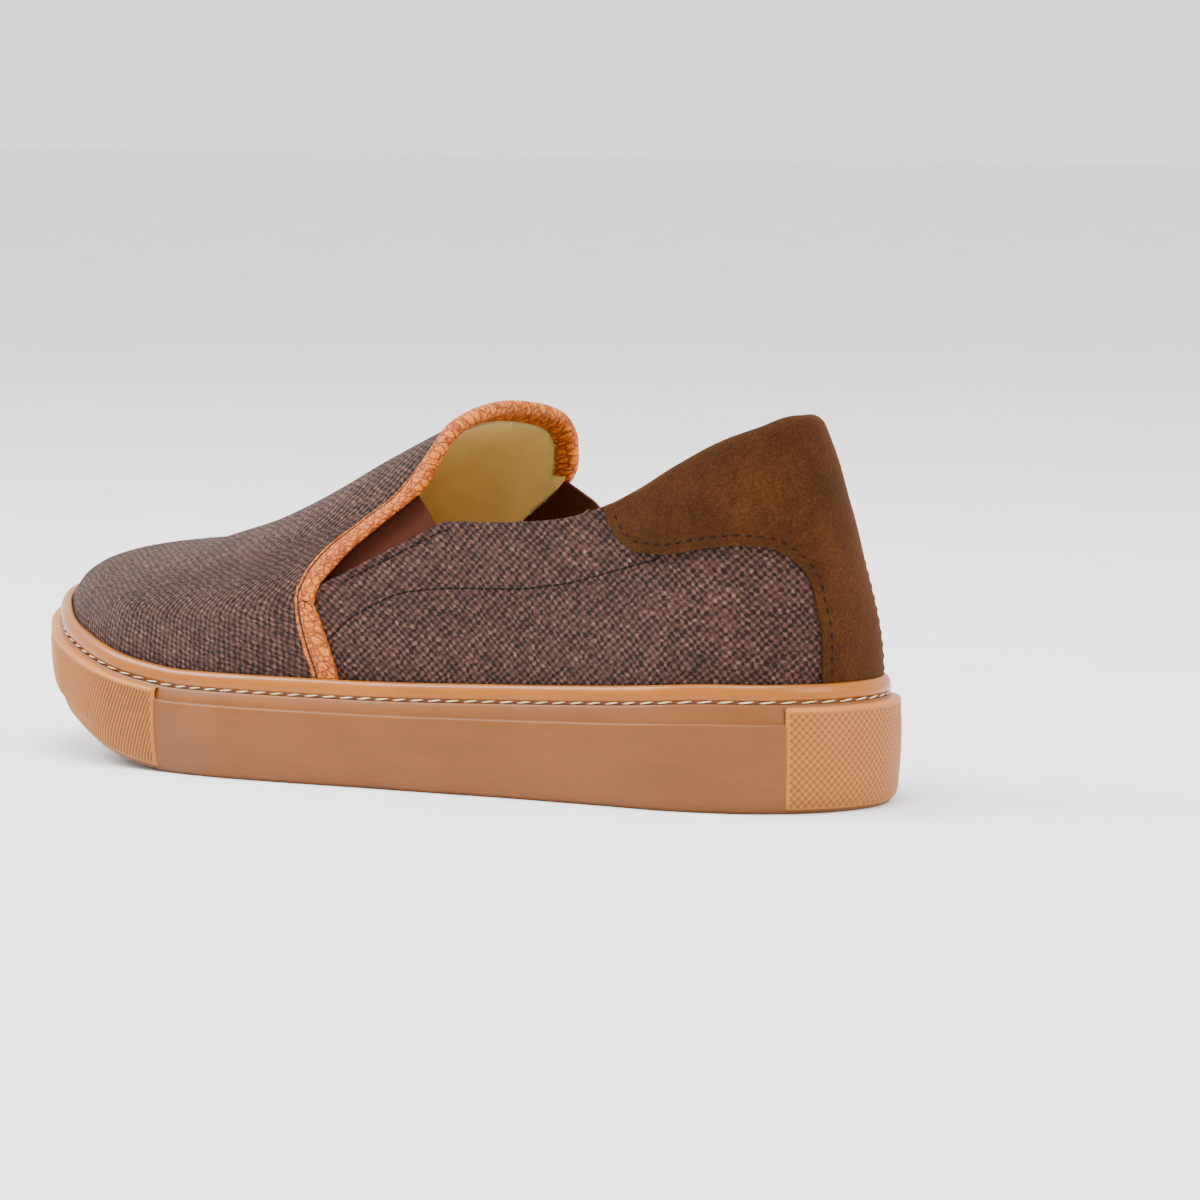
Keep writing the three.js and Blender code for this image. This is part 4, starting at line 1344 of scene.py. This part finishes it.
    def cross_seam(self, points: Array) -> list[bpy.types.Object]:
        """Sews the short wavy seam that closes the binding near the foot of each side."""
        half = points.shape[1] // 2
        made = []
        for side, columns in ((Side.INNER, slice(0, half)), (Side.OUTER, slice(half, None))):
            part = points[slice(*self.seam_rows), columns]
            near = int(np.argmin(np.abs(part[0, :, 2] - self.seam_height)))
            line = part[:, near].copy()
            line[:, 2] += 0.7 * np.sin(np.linspace(0, 2.4 * np.pi, len(line)))
            middle = part[:, near].mean(axis=0)
            out = unit(line - middle + [0.0, 2.0 * side.value, 0.0])
            run = run_length(line)
            at = np.linspace(0.4, run[-1] - 0.4, 6)
            piece = sew(f"binding_seam_{side.name.lower()}", line, out, at,
                        Stitch(1.5, 0.34, 0.4, 8.0))
            made.append(hand_in(piece, "binding_leather", self.thread.material()))
        return made


@dataclass
class Insole:
    """Insole in the upper. Sizes are in mm."""

    last: Last
    thickness: float = 4.0
    inset: float = 8.3
    cloth: Twill = field(default_factory=lambda: Twill(
        "insole_leather_face", *PALE_LEATHER, 0.0))

    def build(self) -> list[bpy.types.Object]:
        """Makes and dresses the insole."""
        turns = np.linspace(0.02, 0.98, 90)
        shares = np.linspace(0, 1, 25)[:, None, None]
        margin = self.inset + self.last.feather_tuck * 0.55
        inner = self.last.inset(turns, margin)
        outer = self.last.inset(2 - turns, margin)
        plan = lerp(outer[None], inner[None], shares)
        cup = 1.2 * np.abs(2 * shares[..., 0] - 1) ** 4
        z = self.last.bed(plan[..., 0]) + self.thickness + cup
        points = np.concatenate([plan, z[..., None]], -1)[:, ::-1]
        piece = grid_piece("insole_board", points, cloth_uv(points))
        face_up(piece)
        thicken(piece, self.thickness)
        soften(piece)
        return [hand_in(piece, "insole_leather", self.cloth.material(), "insole")]


# Cup sole

@dataclass
class CupSole:
    """Rubber cup sole with its lip, knurled panels, tread and lockstitch. Sizes are in mm."""

    last: Last
    tread_roll: float = 3.0
    toe_tread_roll: float = 7.0
    ledge: float = 0.85
    band_lean: float = 1.3
    groove_depth: float = 1.0
    groove_width: float = 1.2
    lip_height: float = 4.0
    proud: float = 0.6
    panel_drop: float = 5.9
    heel_reach: float = 11.0
    toe_reach: float = 83.0
    tread_inset: float = 12.0
    tread_depth: float = 1.8
    lug_sink: float = 0.3
    lug_chamfer: float = 0.35
    tread_groove: float = 2.2
    tread_pitch: float = 11.0
    stitch_pitch: float = 5.7
    stations: int = 360
    wall_rubber: Moulded = field(default_factory=lambda: Moulded(
        "sole_wall_rubber", "6c3f19", "74441b", "7d4b20", 0.45, 0.06))
    lip_rubber: Moulded = field(default_factory=lambda: Moulded(
        "sole_lip_rubber", "884b0e", "925311", "9c5c16", 0.32, 0.16))
    # The panels' last colour is painted shade for the knurl's valleys
    panel_rubber: Moulded = field(default_factory=lambda: Moulded(
        "sole_panel_rubber", "a26322", "aa6926", "b2712c", 0.42, 0.06, 0.02, "653a10"))
    tread_rubber: Moulded = field(default_factory=lambda: Moulded(
        "sole_tread_rubber", "603616", "693d19", "73461f", 0.6, 0.0))
    thread: Twill = field(default_factory=lambda: Twill(
        "lockstitch_thread", "b9a172", "dccba0", "f2e6c4", 0.5, 0.1, 0.6))
    hole: Moulded = field(default_factory=lambda: Moulded(
        "stitch_hole_rubber", "6e4310", "8c5814", "a56c1e", 0.55, 0.0))

    @property
    def head(self) -> float:
        """The distance from the outline in to the top of the band."""
        return self.ledge + self.band_lean

    def ring(self, u: Array, inset: Array, rise: Array) -> Array:
        """Returns a ring of the sole at distances in from the outline and over the tread."""
        x = self.last.outline(u)[..., 0]
        plan = self.last.inset(u, np.broadcast_to(inset, u.shape))
        return np.concatenate([plan, (self.last.spring(x) + rise)[..., None]], -1)

    def heights(self, u: Array) -> tuple[Array, Array, Array]:
        """Returns the wall's height, its roll at the tread and the bed's height over the tread."""
        x = self.last.outline(u)[..., 0]
        roll = lerp(self.tread_roll, self.toe_tread_roll, self.last.toe_blend(x / self.last.length))
        return self.last.rim(x) - self.last.spring(x), roll, self.last.bed(x) - self.last.spring(x)

    def wall_rows(self, height: Array, roll: Array) -> list[tuple[Array, Array]]:
        """Returns inset and rise of the outer wall, from the tread up to the groove's foot."""
        head = self.head
        top = height - self.lip_height - self.groove_width
        step = height * 0.7
        flat = 0 * roll
        return [(roll * 1.0, flat), (roll * 0.86, roll * 0.06), (roll * 0.62, roll * 0.35),
                (roll * 0.44, roll * 0.8), (roll * 0.3, roll * 1.3), (roll * 0.17, height * 0.24),
                (roll * 0.08, height * 0.32), (roll * 0.02, height * 0.43), (flat, height * 0.55),
                (flat + 0.02, height * 0.63), (flat + 0.05, step - 0.75), (flat + 0.14, step - 0.4),
                (flat + 0.34, step - 0.14), (flat + self.ledge - 0.22, step - 0.02),
                (flat + self.ledge + 0.02, step + 0.1),
                (flat + self.ledge + 0.25, lerp(step, top, 0.45)),
                (flat + head - 0.25, lerp(step, top, 0.85)), (flat + head - 0.05, top - 0.12),
                (flat + head + 0.18, top + 0.05), (flat + head + self.groove_depth, top + 0.12)]

    def wall(self) -> bpy.types.Object:
        """Lofts the wall with the bed inside it and the tread's floor under it."""
        u = np.linspace(0, 2, self.stations + 1)
        height, roll, bed = self.heights(u)
        head = self.head
        flat = 0 * u
        rows = [(flat + self.tread_inset, flat + self.tread_depth), (flat + self.tread_inset, flat)]
        rows += self.wall_rows(height, roll)
        groove_top = height - self.lip_height + 0.3
        rows += [(flat + head + self.groove_depth, groove_top), (flat + 5.2, groove_top),
                 (flat + 5.9, groove_top - 1), (flat + 6.2, bed + 5), (flat + 9.8, bed - 0.3)]
        rings = np.stack([self.ring(u, inset, rise) for inset, rise in rows])
        floor = self.to_spine(rings[0], 6)[::-1]
        top = self.to_spine(rings[-1], 6)
        points = np.concatenate([floor[:-1], rings, top[1:]])
        piece = grid_piece("sole_wall", points, cloth_uv(points))
        merge_doubles(piece)
        soften(piece, 42)
        return piece

    def to_spine(self, ring: Array, count: int) -> Array:
        """Returns rings that close a ring to the line along its middle."""
        mirrored = ring[::-1]
        middle = (ring + mirrored) / 2
        return np.stack([lerp(ring, middle, share) for share in np.linspace(0, 1, count)])

    def lip(self) -> bpy.types.Object:
        """Lofts the lip that is sewn to the upper."""
        u = np.linspace(0, 2, self.stations + 1)
        height, _, _ = self.heights(u)
        shape = [(5.3, -4.3), (3.3, -4.25), (2.5, -4.1), (2.28, -3.85), (2.2, -3.4), (2.22, -2.8),
                 (2.32, -2.1), (2.5, -1.45), (2.78, -0.85), (3.15, -0.38), (3.6, -0.1), (4.1, 0.0),
                 (4.6, -0.03), (5.05, -0.15), (5.35, -0.4), (5.5, -0.9), (5.6, -2.5), (5.6, -3.6)]
        rings = [self.ring(u, inset, height + rise) for inset, rise in shape]
        points = np.stack(rings + rings[:1])
        piece = grid_piece("sole_lip", points, cloth_uv(points))
        merge_doubles(piece)
        soften(piece, 60)
        return piece

    def panel(self, name: str, low_turn: float, high_turn: float, samples: int, rows: int,
              relief: Callable[[Array, Array], Array]) -> bpy.types.Object:
        """Makes a knurled panel over part of the wall, with painted shade in the knurl's valleys.

        Args:
            name: Name of the piece.
            low_turn: Place round the shoe where it starts.
            high_turn: Place where it ends.
            samples: Columns along it.
            rows: Rows up it.
            relief: Gives the depth of the knurl from run and height, all in mm.

        Returns:
            The panel.
        """
        coarse = np.linspace(low_turn, high_turn, 2000)
        run = run_length(np.concatenate([self.last.outline(coarse), 0 * coarse[:, None]], 1))
        even = np.linspace(0, run[-1], samples)
        u = np.interp(even, run, coarse)
        height, roll, _ = self.heights(u)
        table = self.wall_rows(height, roll)
        insets = np.stack([row[0] for row in table[2:12]])
        rises = np.stack([row[1] for row in table[2:12]])
        top = height - self.panel_drop
        span = top - rises[0]
        shares = np.linspace(0, 1, rows)
        points = np.empty((rows + 4, samples, 3))
        tone = np.ones((rows + 4, samples))
        ends = smooth(0, 1.1, np.minimum(even, run[-1] - even))
        middle = even - run[-1] / 2
        for index, share in enumerate(shares):
            rise = lerp(rises[0], top, share)
            inset = np.array([np.interp(r, rises[:, i], insets[:, i]) for i, r in enumerate(rise)])
            up = share * span
            foot = smooth(0, 0.8, up)
            shoulder = np.clip(1 - (span - up) / 1.4, 0, 1)
            cover = ends * foot
            depth = relief(middle, up)
            border = smooth(0.5, 1.0, up) * smooth(0.9, 1.5, span - up) * smooth(
                0.8, 1.2, np.minimum(even, run[-1] - even))
            stand = (self.proud + 0.2) * cover - depth * border - 0.12 * (1 - cover)
            rounded = 0.9 * (1 - np.sqrt(1 - np.minimum(shoulder, 0.999) ** 2))
            points[index] = self.ring(u, inset - stand + rounded, rise)
            # Painted shade: the knurl's valleys are coloured darker, the deeper they are
            tone[index] = 1 - border * depth / 0.5
        for index, (inward, up) in enumerate(((0.5, 0.05), (1.3, 0.12), (2.1, 0.14), (2.9, 0.1))):
            points[rows + index] = self.ring(u, inward, top + up)
        piece = grid_piece(name, points, cloth_uv(points), tone)
        soften(piece, 80)
        return piece

    def lug(self, index: int) -> bpy.types.Object | None:
        """Makes one chevron lug of the tread, where it fits in the plain border."""
        sweep = self.last.ball_width * 0.12
        half = self.last.ball_width / 2
        front = self.tread_inset + (index + 1.5) * self.tread_pitch
        rear = self.tread_inset + (index + 0.5) * self.tread_pitch + self.tread_groove
        turns = np.linspace(0, 2, 721)
        border = self.last.inset(turns, self.tread_inset)
        toe = len(turns) // 2
        edges = []
        for start in (rear, front):
            ends = []
            for sign in (-1, 1):
                part = border[:toe + 1] if sign < 0 else border[toe:][::-1]
                over = part[:, 0] + sweep * np.abs(part[:, 1]) / half - start
                crossing = np.nonzero(np.diff(np.sign(over)) > 0)[0]
                if not len(crossing):
                    return None
                k = crossing[0]
                share = over[k] / (over[k] - over[k + 1])
                ends.append(lerp(part[k, 1], part[k + 1, 1], share))
            y = np.concatenate([np.linspace(ends[0], 0, 13), np.linspace(0, ends[1], 13)[1:]])
            edges.append(np.stack([start - sweep * np.abs(y) / half, y], -1))
        shares = np.array([0, 0.06, 0.35, 0.65, 0.94, 1.0])
        plan = lerp(edges[0][None], edges[1][None], shares[:, None, None])
        chamfer = np.zeros(plan.shape[:2])
        chamfer[[0, -1]] = chamfer[:, [0, -1]] = self.lug_chamfer
        z = self.last.spring(plan[..., 0]) + chamfer
        points = np.concatenate([plan, z[..., None]], -1)
        piece = grid_piece(f"lug_{index}", points, cloth_uv(points))
        face_up(piece)
        rise = (self.tread_depth + self.lug_sink) * MM
        edit(piece, bpy.ops.mesh.extrude_region_move,
             TRANSFORM_OT_translate={"value": (0, 0, rise)})
        face_outwards(piece)
        return piece

    def tread(self) -> bpy.types.Object:
        """Makes the lugs of the tread and joins them."""
        count = int((self.last.length - 2 * self.tread_inset) / self.tread_pitch)
        lugs = [lug for lug in (self.lug(i) for i in range(-1, count)) if lug]
        bpy.ops.object.select_all(action="DESELECT")
        for lug in lugs:
            lug.select_set(True)
        bpy.context.view_layer.objects.active = lugs[0]
        bpy.ops.object.join()
        piece = bpy.context.active_object
        piece.name = "sole_tread_lugs"
        soften(piece, 35)
        return piece

    def toe_relief(self, run: Array, up: Array) -> Array:
        """Returns the depth of the toe's knurl: leaning ribs that turn to diamonds at the front."""
        first = np.cos(2 * np.pi * (np.abs(run) * 0.92 - up * 0.4) / 1.15)
        second = np.cos(2 * np.pi * (np.abs(run) * 0.92 + up * 0.4) / 1.15)
        front = 1 - smooth(18, 42, np.abs(run))
        ribs = 0.5 - 0.5 * first
        diamonds = 0.5 - 0.25 * (first + second)
        return 0.5 * lerp(ribs, diamonds, front)

    def heel_relief(self, run: Array, up: Array) -> Array:
        """Returns the depth of the heel's knurl: rows of raised dots, each row moved by half."""
        first = np.cos(2 * np.pi * (run + up * 0.95) / 2.1)
        second = np.cos(2 * np.pi * (run - up * 0.95) / 2.1)
        return 0.48 * (0.5 - 0.25 * (first + second))

    def build(self) -> list[bpy.types.Object]:
        """Makes and dresses the sole."""
        last = self.last
        heel_turn = math.acos(1 - 2 * self.heel_reach / last.length) / math.pi
        toe_turn = math.acos(1 - 2 * (last.length - self.toe_reach) / last.length) / math.pi
        panel = self.panel_rubber.material()
        made = [
            hand_in(self.wall(), "rubber", self.wall_rubber.material(), "cupsole"),
            hand_in(self.lip(), "rubber", self.lip_rubber.material(), "cupsole"),
            hand_in(self.panel("sole_toe_panel", toe_turn, 2 - toe_turn, 940, 62, self.toe_relief),
                    "rubber", panel, "cupsole"),
            hand_in(self.panel("sole_heel_panel", -heel_turn, heel_turn, 230, 66, self.heel_relief),
                    "rubber", panel, "cupsole"),
            hand_in(self.tread(), "rubber", self.tread_rubber.material(), "cupsole"),
        ]
        made += self.lockstitch()
        return made

    def lockstitch(self) -> list[bpy.types.Object]:
        """Sews the lip to the upper: slanted stitches in the groove with holes between."""
        coarse = np.linspace(0, 2, 4001)
        height, _, _ = self.heights(coarse)
        head = self.head
        middle = height - self.lip_height - self.groove_width * 0.5
        line = self.ring(coarse, 0 * coarse + head + 0.3, middle)
        deep = self.ring(coarse, 0 * coarse + head + 0.8, middle)
        out = unit(line - self.ring(coarse, 0 * coarse + head + 1.3, middle))
        run = run_length(line)
        count = int(round(run[-1] / self.stitch_pitch))
        at = (np.arange(count) + 0.5) * run[-1] / count
        stitches = sew("lockstitch", line, out, at, Stitch(4.5, 0.5, 0.45, 6.0))
        holes = sew("lockstitch_holes", deep, out, at + run[-1] / count / 2,
                    Stitch(1.5, 0.55, 0.5, 0.0))
        return [hand_in(stitches, "rubber", self.thread.material()),
                hand_in(holes, "rubber", self.hole.material())]


# Sewing

@dataclass(frozen=True)
class Stitch:
    """One stitch that shows. Sizes are in mm and the slant in degrees."""

    length: float
    thickness: float
    height: float
    slant: float


def sew(name: str, line: Array, out: Array, at: Array, stitch: Stitch) -> bpy.types.Object:
    """Copies one modelled stitch along a line and joins the copies.

    Args:
        name: Name of the row of stitches.
        line: Points of the line, in heel-based mm.
        out: Outward directions there.
        at: How far along the line each stitch has its middle.
        stitch: Sizes of a stitch.

    Returns:
        The row as one piece.
    """
    piece = add_primitive(name, bpy.ops.mesh.primitive_uv_sphere_add,
                          segments=8, ring_count=7, radius=0.5)
    ball = places_of(piece.data)[:, [2, 0, 1]]
    faces = [tuple(face.vertices) for face in piece.data.polygons]
    bulk = np.sign(ball[:, 0]) * np.abs(2 * ball[:, 0]) ** 1.4 / 2
    shape = np.stack([bulk * stitch.length, ball[:, 1] * stitch.thickness,
                      ball[:, 2] * stitch.height - 0.35 * stitch.height * (2 * bulk) ** 2], -1)
    angle = math.radians(stitch.slant)
    turned = np.stack([shape[:, 0] * math.cos(angle) - shape[:, 1] * math.sin(angle),
                       shape[:, 0] * math.sin(angle) + shape[:, 1] * math.cos(angle),
                       shape[:, 2]], -1)
    run = run_length(line)
    place = along_line(at, run, line)
    normal = unit(along_line(at, run, out))
    tangent = unit(along_line(at + 0.4, run, line) - along_line(at - 0.4, run, line))
    across = unit(np.cross(normal, tangent))
    normal = np.cross(tangent, across)
    return copies(piece, set_out(turned, place, tangent, across, normal), faces)


def set_out(shape: Array, places: Array, *axes: Array) -> Array:
    """Returns copies of a shape's points at places, each turned and sized by its three axes."""
    return sum((shape[None, :, i:i + 1] * axes[i][:, None, :] for i in range(3)),
               places[:, None, :])


def copies(piece: bpy.types.Object, points: Array,
           faces: list[tuple[int, ...]]) -> bpy.types.Object:
    """Turns a piece into many copies of its faces.

    Args:
        piece: The modelled shape.
        points: Copies by corners of points, in heel-based mm.
        faces: Corners of each face of one copy.

    Returns:
        The piece.
    """
    mesh = piece.data
    count = points.shape[1]
    every = [tuple(index + count * k for index in face)
             for k in range(len(points)) for face in faces]
    mesh.clear_geometry()
    mesh.from_pydata(to_frame(points.reshape(-1, 3)).tolist(), [], every)
    mesh.update()
    face_outwards(piece)
    pick_only(piece)
    bpy.ops.object.shade_smooth()
    return piece


def fray(name: str, line: Array, lean: Array, count: int, length: float,
         seed: int) -> bpy.types.Object:
    """Lets loose fibres stand off a raw edge.

    Args:
        name: Name of the row of fibres.
        line: Points of the edge, in heel-based mm.
        lean: Way that the fibres point there.
        count: How many fibres.
        length: Length of the longest, in mm.
        seed: Start of the random numbers.

    Returns:
        The fibres as one piece.
    """
    piece = add_primitive(name, bpy.ops.mesh.primitive_cone_add,
                          vertices=3, radius1=0.5, depth=1.0)
    spike = places_of(piece.data) + [0, 0, 0.5]
    faces = [tuple(face.vertices) for face in piece.data.polygons]
    chance = np.random.default_rng(seed)
    run = run_length(line)
    at = np.sort(chance.uniform(0, run[-1], count))
    root = along_line(at, run, line)
    way = unit(along_line(at, run, lean))
    way = unit(way + chance.normal(0, 0.45, way.shape))
    side = unit(np.cross(way, chance.normal(0, 1, way.shape)))
    third = np.cross(way, side)
    reach = length * chance.uniform(0.25, 1.0, (count, 1)) ** 1.3
    thick = chance.uniform(0.12, 0.26, (count, 1))
    return copies(piece, set_out(spike, root, thick * side, thick * third, reach * way), faces)


@dataclass
class Sewing:
    """Stitch rows of the suede and the quarters, and the lining's frayed edge. Sizes are in mm."""

    last: Last
    lines: EdgeLines
    counter: Counter
    suede_pitch: float = 3.2
    suede_margin: float = 2.6
    seam_pitch: float = 2.4
    hem_pitch: float = 2.3
    hem_margin: float = 2.3
    fibre_count: int = 620
    fibre_length: float = 1.7
    suede_thread: Twill = field(default_factory=lambda: Twill(
        "suede_thread", "100602", "1a0b03", "281406", 0.4, 0.08, 0.8))
    dark_thread: Twill = field(default_factory=lambda: Twill(
        "dark_thread", "0c0705", "120b08", "1c120e", 0.4, 0.05, 0.9))
    fibre: Twill = field(default_factory=lambda: Twill(
        "lining_fibre", "b9ab72", "d2c690", "e2d8ac", 0.0, 0.05, 0.9))

    def counter_rows(self) -> list[bpy.types.Object]:
        """Sews round the suede just inside its edge, one row a side."""
        pieces = []
        for side in Side:
            turn, level = self.counter.border(side)
            u = side.around(turn)
            edge = self.last.point(u, level)
            normal = self.last.normal(u, level)
            tangent = unit(np.gradient(edge, axis=0))
            inward = np.cross(normal, tangent) * (1 if side is Side.INNER else -1)
            near_u, near_v = self.last.nearest(edge + inward * self.suede_margin, u, level)
            over = self.counter.swell(near_u, near_v) + 0.02
            line = self.last.offset(near_u, near_v, over)[4:-4]
            out = self.last.normal(near_u, near_v)[4:-4]
            name = f"suede_stitches_{side.name.lower()}"
            piece = sew(name, line, out, spaced(line, self.suede_pitch),
                        Stitch(2.3, 0.62, 0.4, 5.0))
            pieces.append(hand_in(piece, "suede", self.suede_thread.material()))
        return pieces

    def seam_lines(self) -> list[bpy.types.Object]:
        """Sews the long seam of each quarter."""
        pieces = []
        rows = self.last.side_point(SEAM_ROWS)
        curve = Column(rows[:, 0], rows[:, 1])
        x = np.linspace(rows[-1, 0], rows[0, 0], 200)
        for side in Side:
            u, v = self.last.locate(x, curve(x), side)
            line = self.last.offset(u, v, 0.04)
            piece = sew(f"quarter_seam_{side.name.lower()}", line, self.last.normal(u, v),
                        spaced(line, self.seam_pitch), Stitch(2.5, 0.58, 0.4, 3.0))
            pieces.append(hand_in(piece, "canvas", self.dark_thread.material()))
        return pieces

    def hem_lines(self) -> list[bpy.types.Object]:
        """Sews the hem of each quarter along its gore."""
        pieces = []
        x = np.linspace(self.lines.collar_end[0] - 2, self.lines.tip[0] - 7, 120)
        for side in Side:
            u, v = self.last.locate(x, self.lines.top(x) - self.hem_margin, side)
            line = self.last.offset(u, v, 0.12)
            piece = sew(f"hem_stitches_{side.name.lower()}", line, self.last.normal(u, v),
                        spaced(line, self.hem_pitch), Stitch(1.9, 0.6, 0.4, 3.0))
            pieces.append(hand_in(piece, "canvas", self.dark_thread.material()))
        return pieces

    def raw_edges(self) -> list[bpy.types.Object]:
        """Frays the raw edge of the lining in the mouth and beside the gores."""
        pieces = []
        for side in Side:
            start = (self.lines.tip if side is Side.INNER else self.lines.mouth_low) + [0.0, 5.0]
            low = self.last.locate(*start, side)[1]
            levels = np.linspace(float(low), 1.0, 160)
            turn = self.lines.edge_turn(levels, side)
            u = side.around(turn)
            ahead = turn + 0.01
            edge = self.last.point(u, levels)
            way = unit(self.last.point(side.around(ahead), levels) - edge)
            normal = self.last.normal(u, levels)
            mouth = self.lines.mouth_low[1]
            back = smooth(mouth - 4, mouth + 2, edge[:, 2])[:, None]
            line = edge + way * (0.4 + 5.3 * back) - normal * (2.3 + 0.5 * back)
            name = f"lining_fray_{side.name.lower()}"
            lean = -way * (1 - 0.4 * back) - normal * 0.7
            piece = fray(name, line, lean, self.fibre_count, self.fibre_length, 11 + side.value)
            pieces.append(hand_in(piece, "canvas", self.fibre.material()))
        return pieces

    def build(self) -> list[bpy.types.Object]:
        """Sews every row."""
        return self.counter_rows() + self.seam_lines() + self.hem_lines() + self.raw_edges()


# Studio

@dataclass
class Studio:
    """Pale floor, soft lights and the camera. Sizes are in mm and angles in degrees."""

    aim: tuple[float, float, float] = (0.0, -2.07, 44.0)
    azimuth: float = 218.97
    elevation: float = 5.307
    look_azimuth: float = 217.598
    look_elevation: float = 5.17
    distance: float = 1759.0
    lens: float = 187.3

    @staticmethod
    def back(azimuth: float, elevation: float) -> Vector:
        """Returns the direction from the shoe to a viewer."""
        a, e = math.radians(azimuth), math.radians(elevation)
        return Vector((math.sin(a) * math.cos(e), -math.cos(a) * math.cos(e), math.sin(e)))

    @staticmethod
    def hang(name: str, data: bpy.types.ID, place: Vector, look: Vector) -> bpy.types.Object:
        """Adds a camera or a lamp at a place, turned to look along a direction."""
        item = bpy.data.objects.new(name, data)
        bpy.context.scene.collection.objects.link(item)
        item.location = place
        item.rotation_mode = "QUATERNION"
        item.rotation_quaternion = look.to_track_quat("-Z", "Y")
        return item

    def camera(self) -> None:
        """Places the camera where the photograph was taken from."""
        data = bpy.data.cameras.new("view")
        data.lens = self.lens
        data.sensor_width = 36.0
        data.clip_start = 0.05
        data.clip_end = 50.0
        away = self.back(self.azimuth, self.elevation) * self.distance
        look = -self.back(self.look_azimuth, self.look_elevation)
        bpy.context.scene.camera = self.hang("view", data, (Vector(self.aim) + away) * MM, look)

    def floor(self) -> None:
        """Lays the floor, a flat plane under the shoe."""
        piece = add_primitive("studio_floor", bpy.ops.mesh.primitive_plane_add,
                              size=14.0, location=(0, 0, 0))
        shade = Shading("floor_paper", roughness=0.9, specular_ior_level=0.1)
        speck = shade.noise(shade.space(), 0.02, 2.0)
        colour = shade.ramp(speck, [(0.3, "f4f4f4"), (0.7, "f8f8f8")])
        piece.data.materials.append(shade.finish(colour))

    def light(self, name: str, azimuth: float, elevation: float, distance: float, size: float,
              power: float) -> None:
        """Hangs one soft box that faces the shoe, with its place in degrees and metres."""
        data = bpy.data.lights.new(name, "AREA")
        data.shape = "SQUARE"
        data.size = size
        data.energy = power
        away = self.back(azimuth, elevation)
        self.hang(name, data, away * distance, -away)

    def build(self) -> None:
        """Sets up the studio."""
        self.camera()
        self.floor()
        world = bpy.data.worlds.new("studio")
        world.use_nodes = True
        world.node_tree.nodes["Background"].inputs[0].default_value = (1, 1, 1, 1)
        world.node_tree.nodes["Background"].inputs[1].default_value = 1.6
        bpy.context.scene.world = world
        self.light("key", 116.0, 46.0, 1.7, 0.8, 34.0)
        self.light("right", 264.0, 34.0, 1.7, 1.0, 18.0)
        self.light("top", 200.0, 80.0, 1.6, 0.8, 25.0)


def main() -> None:
    """Builds the shoe around its frame."""
    logging.basicConfig(level=logging.INFO, format="%(name)s %(message)s")
    last = Last()
    lines = EdgeLines(last)
    counter = Counter(last, lines)
    pieces = Upper(last, lines).build()
    pieces += counter.build()
    pieces += Binding(last, lines).build()
    pieces += Insole(last).build()
    pieces += CupSole(last).build()
    pieces += Sewing(last, lines, counter).build()
    Studio().build()
    LOG.info("%d pieces", len(pieces))


if __name__ == "__main__":
    main()
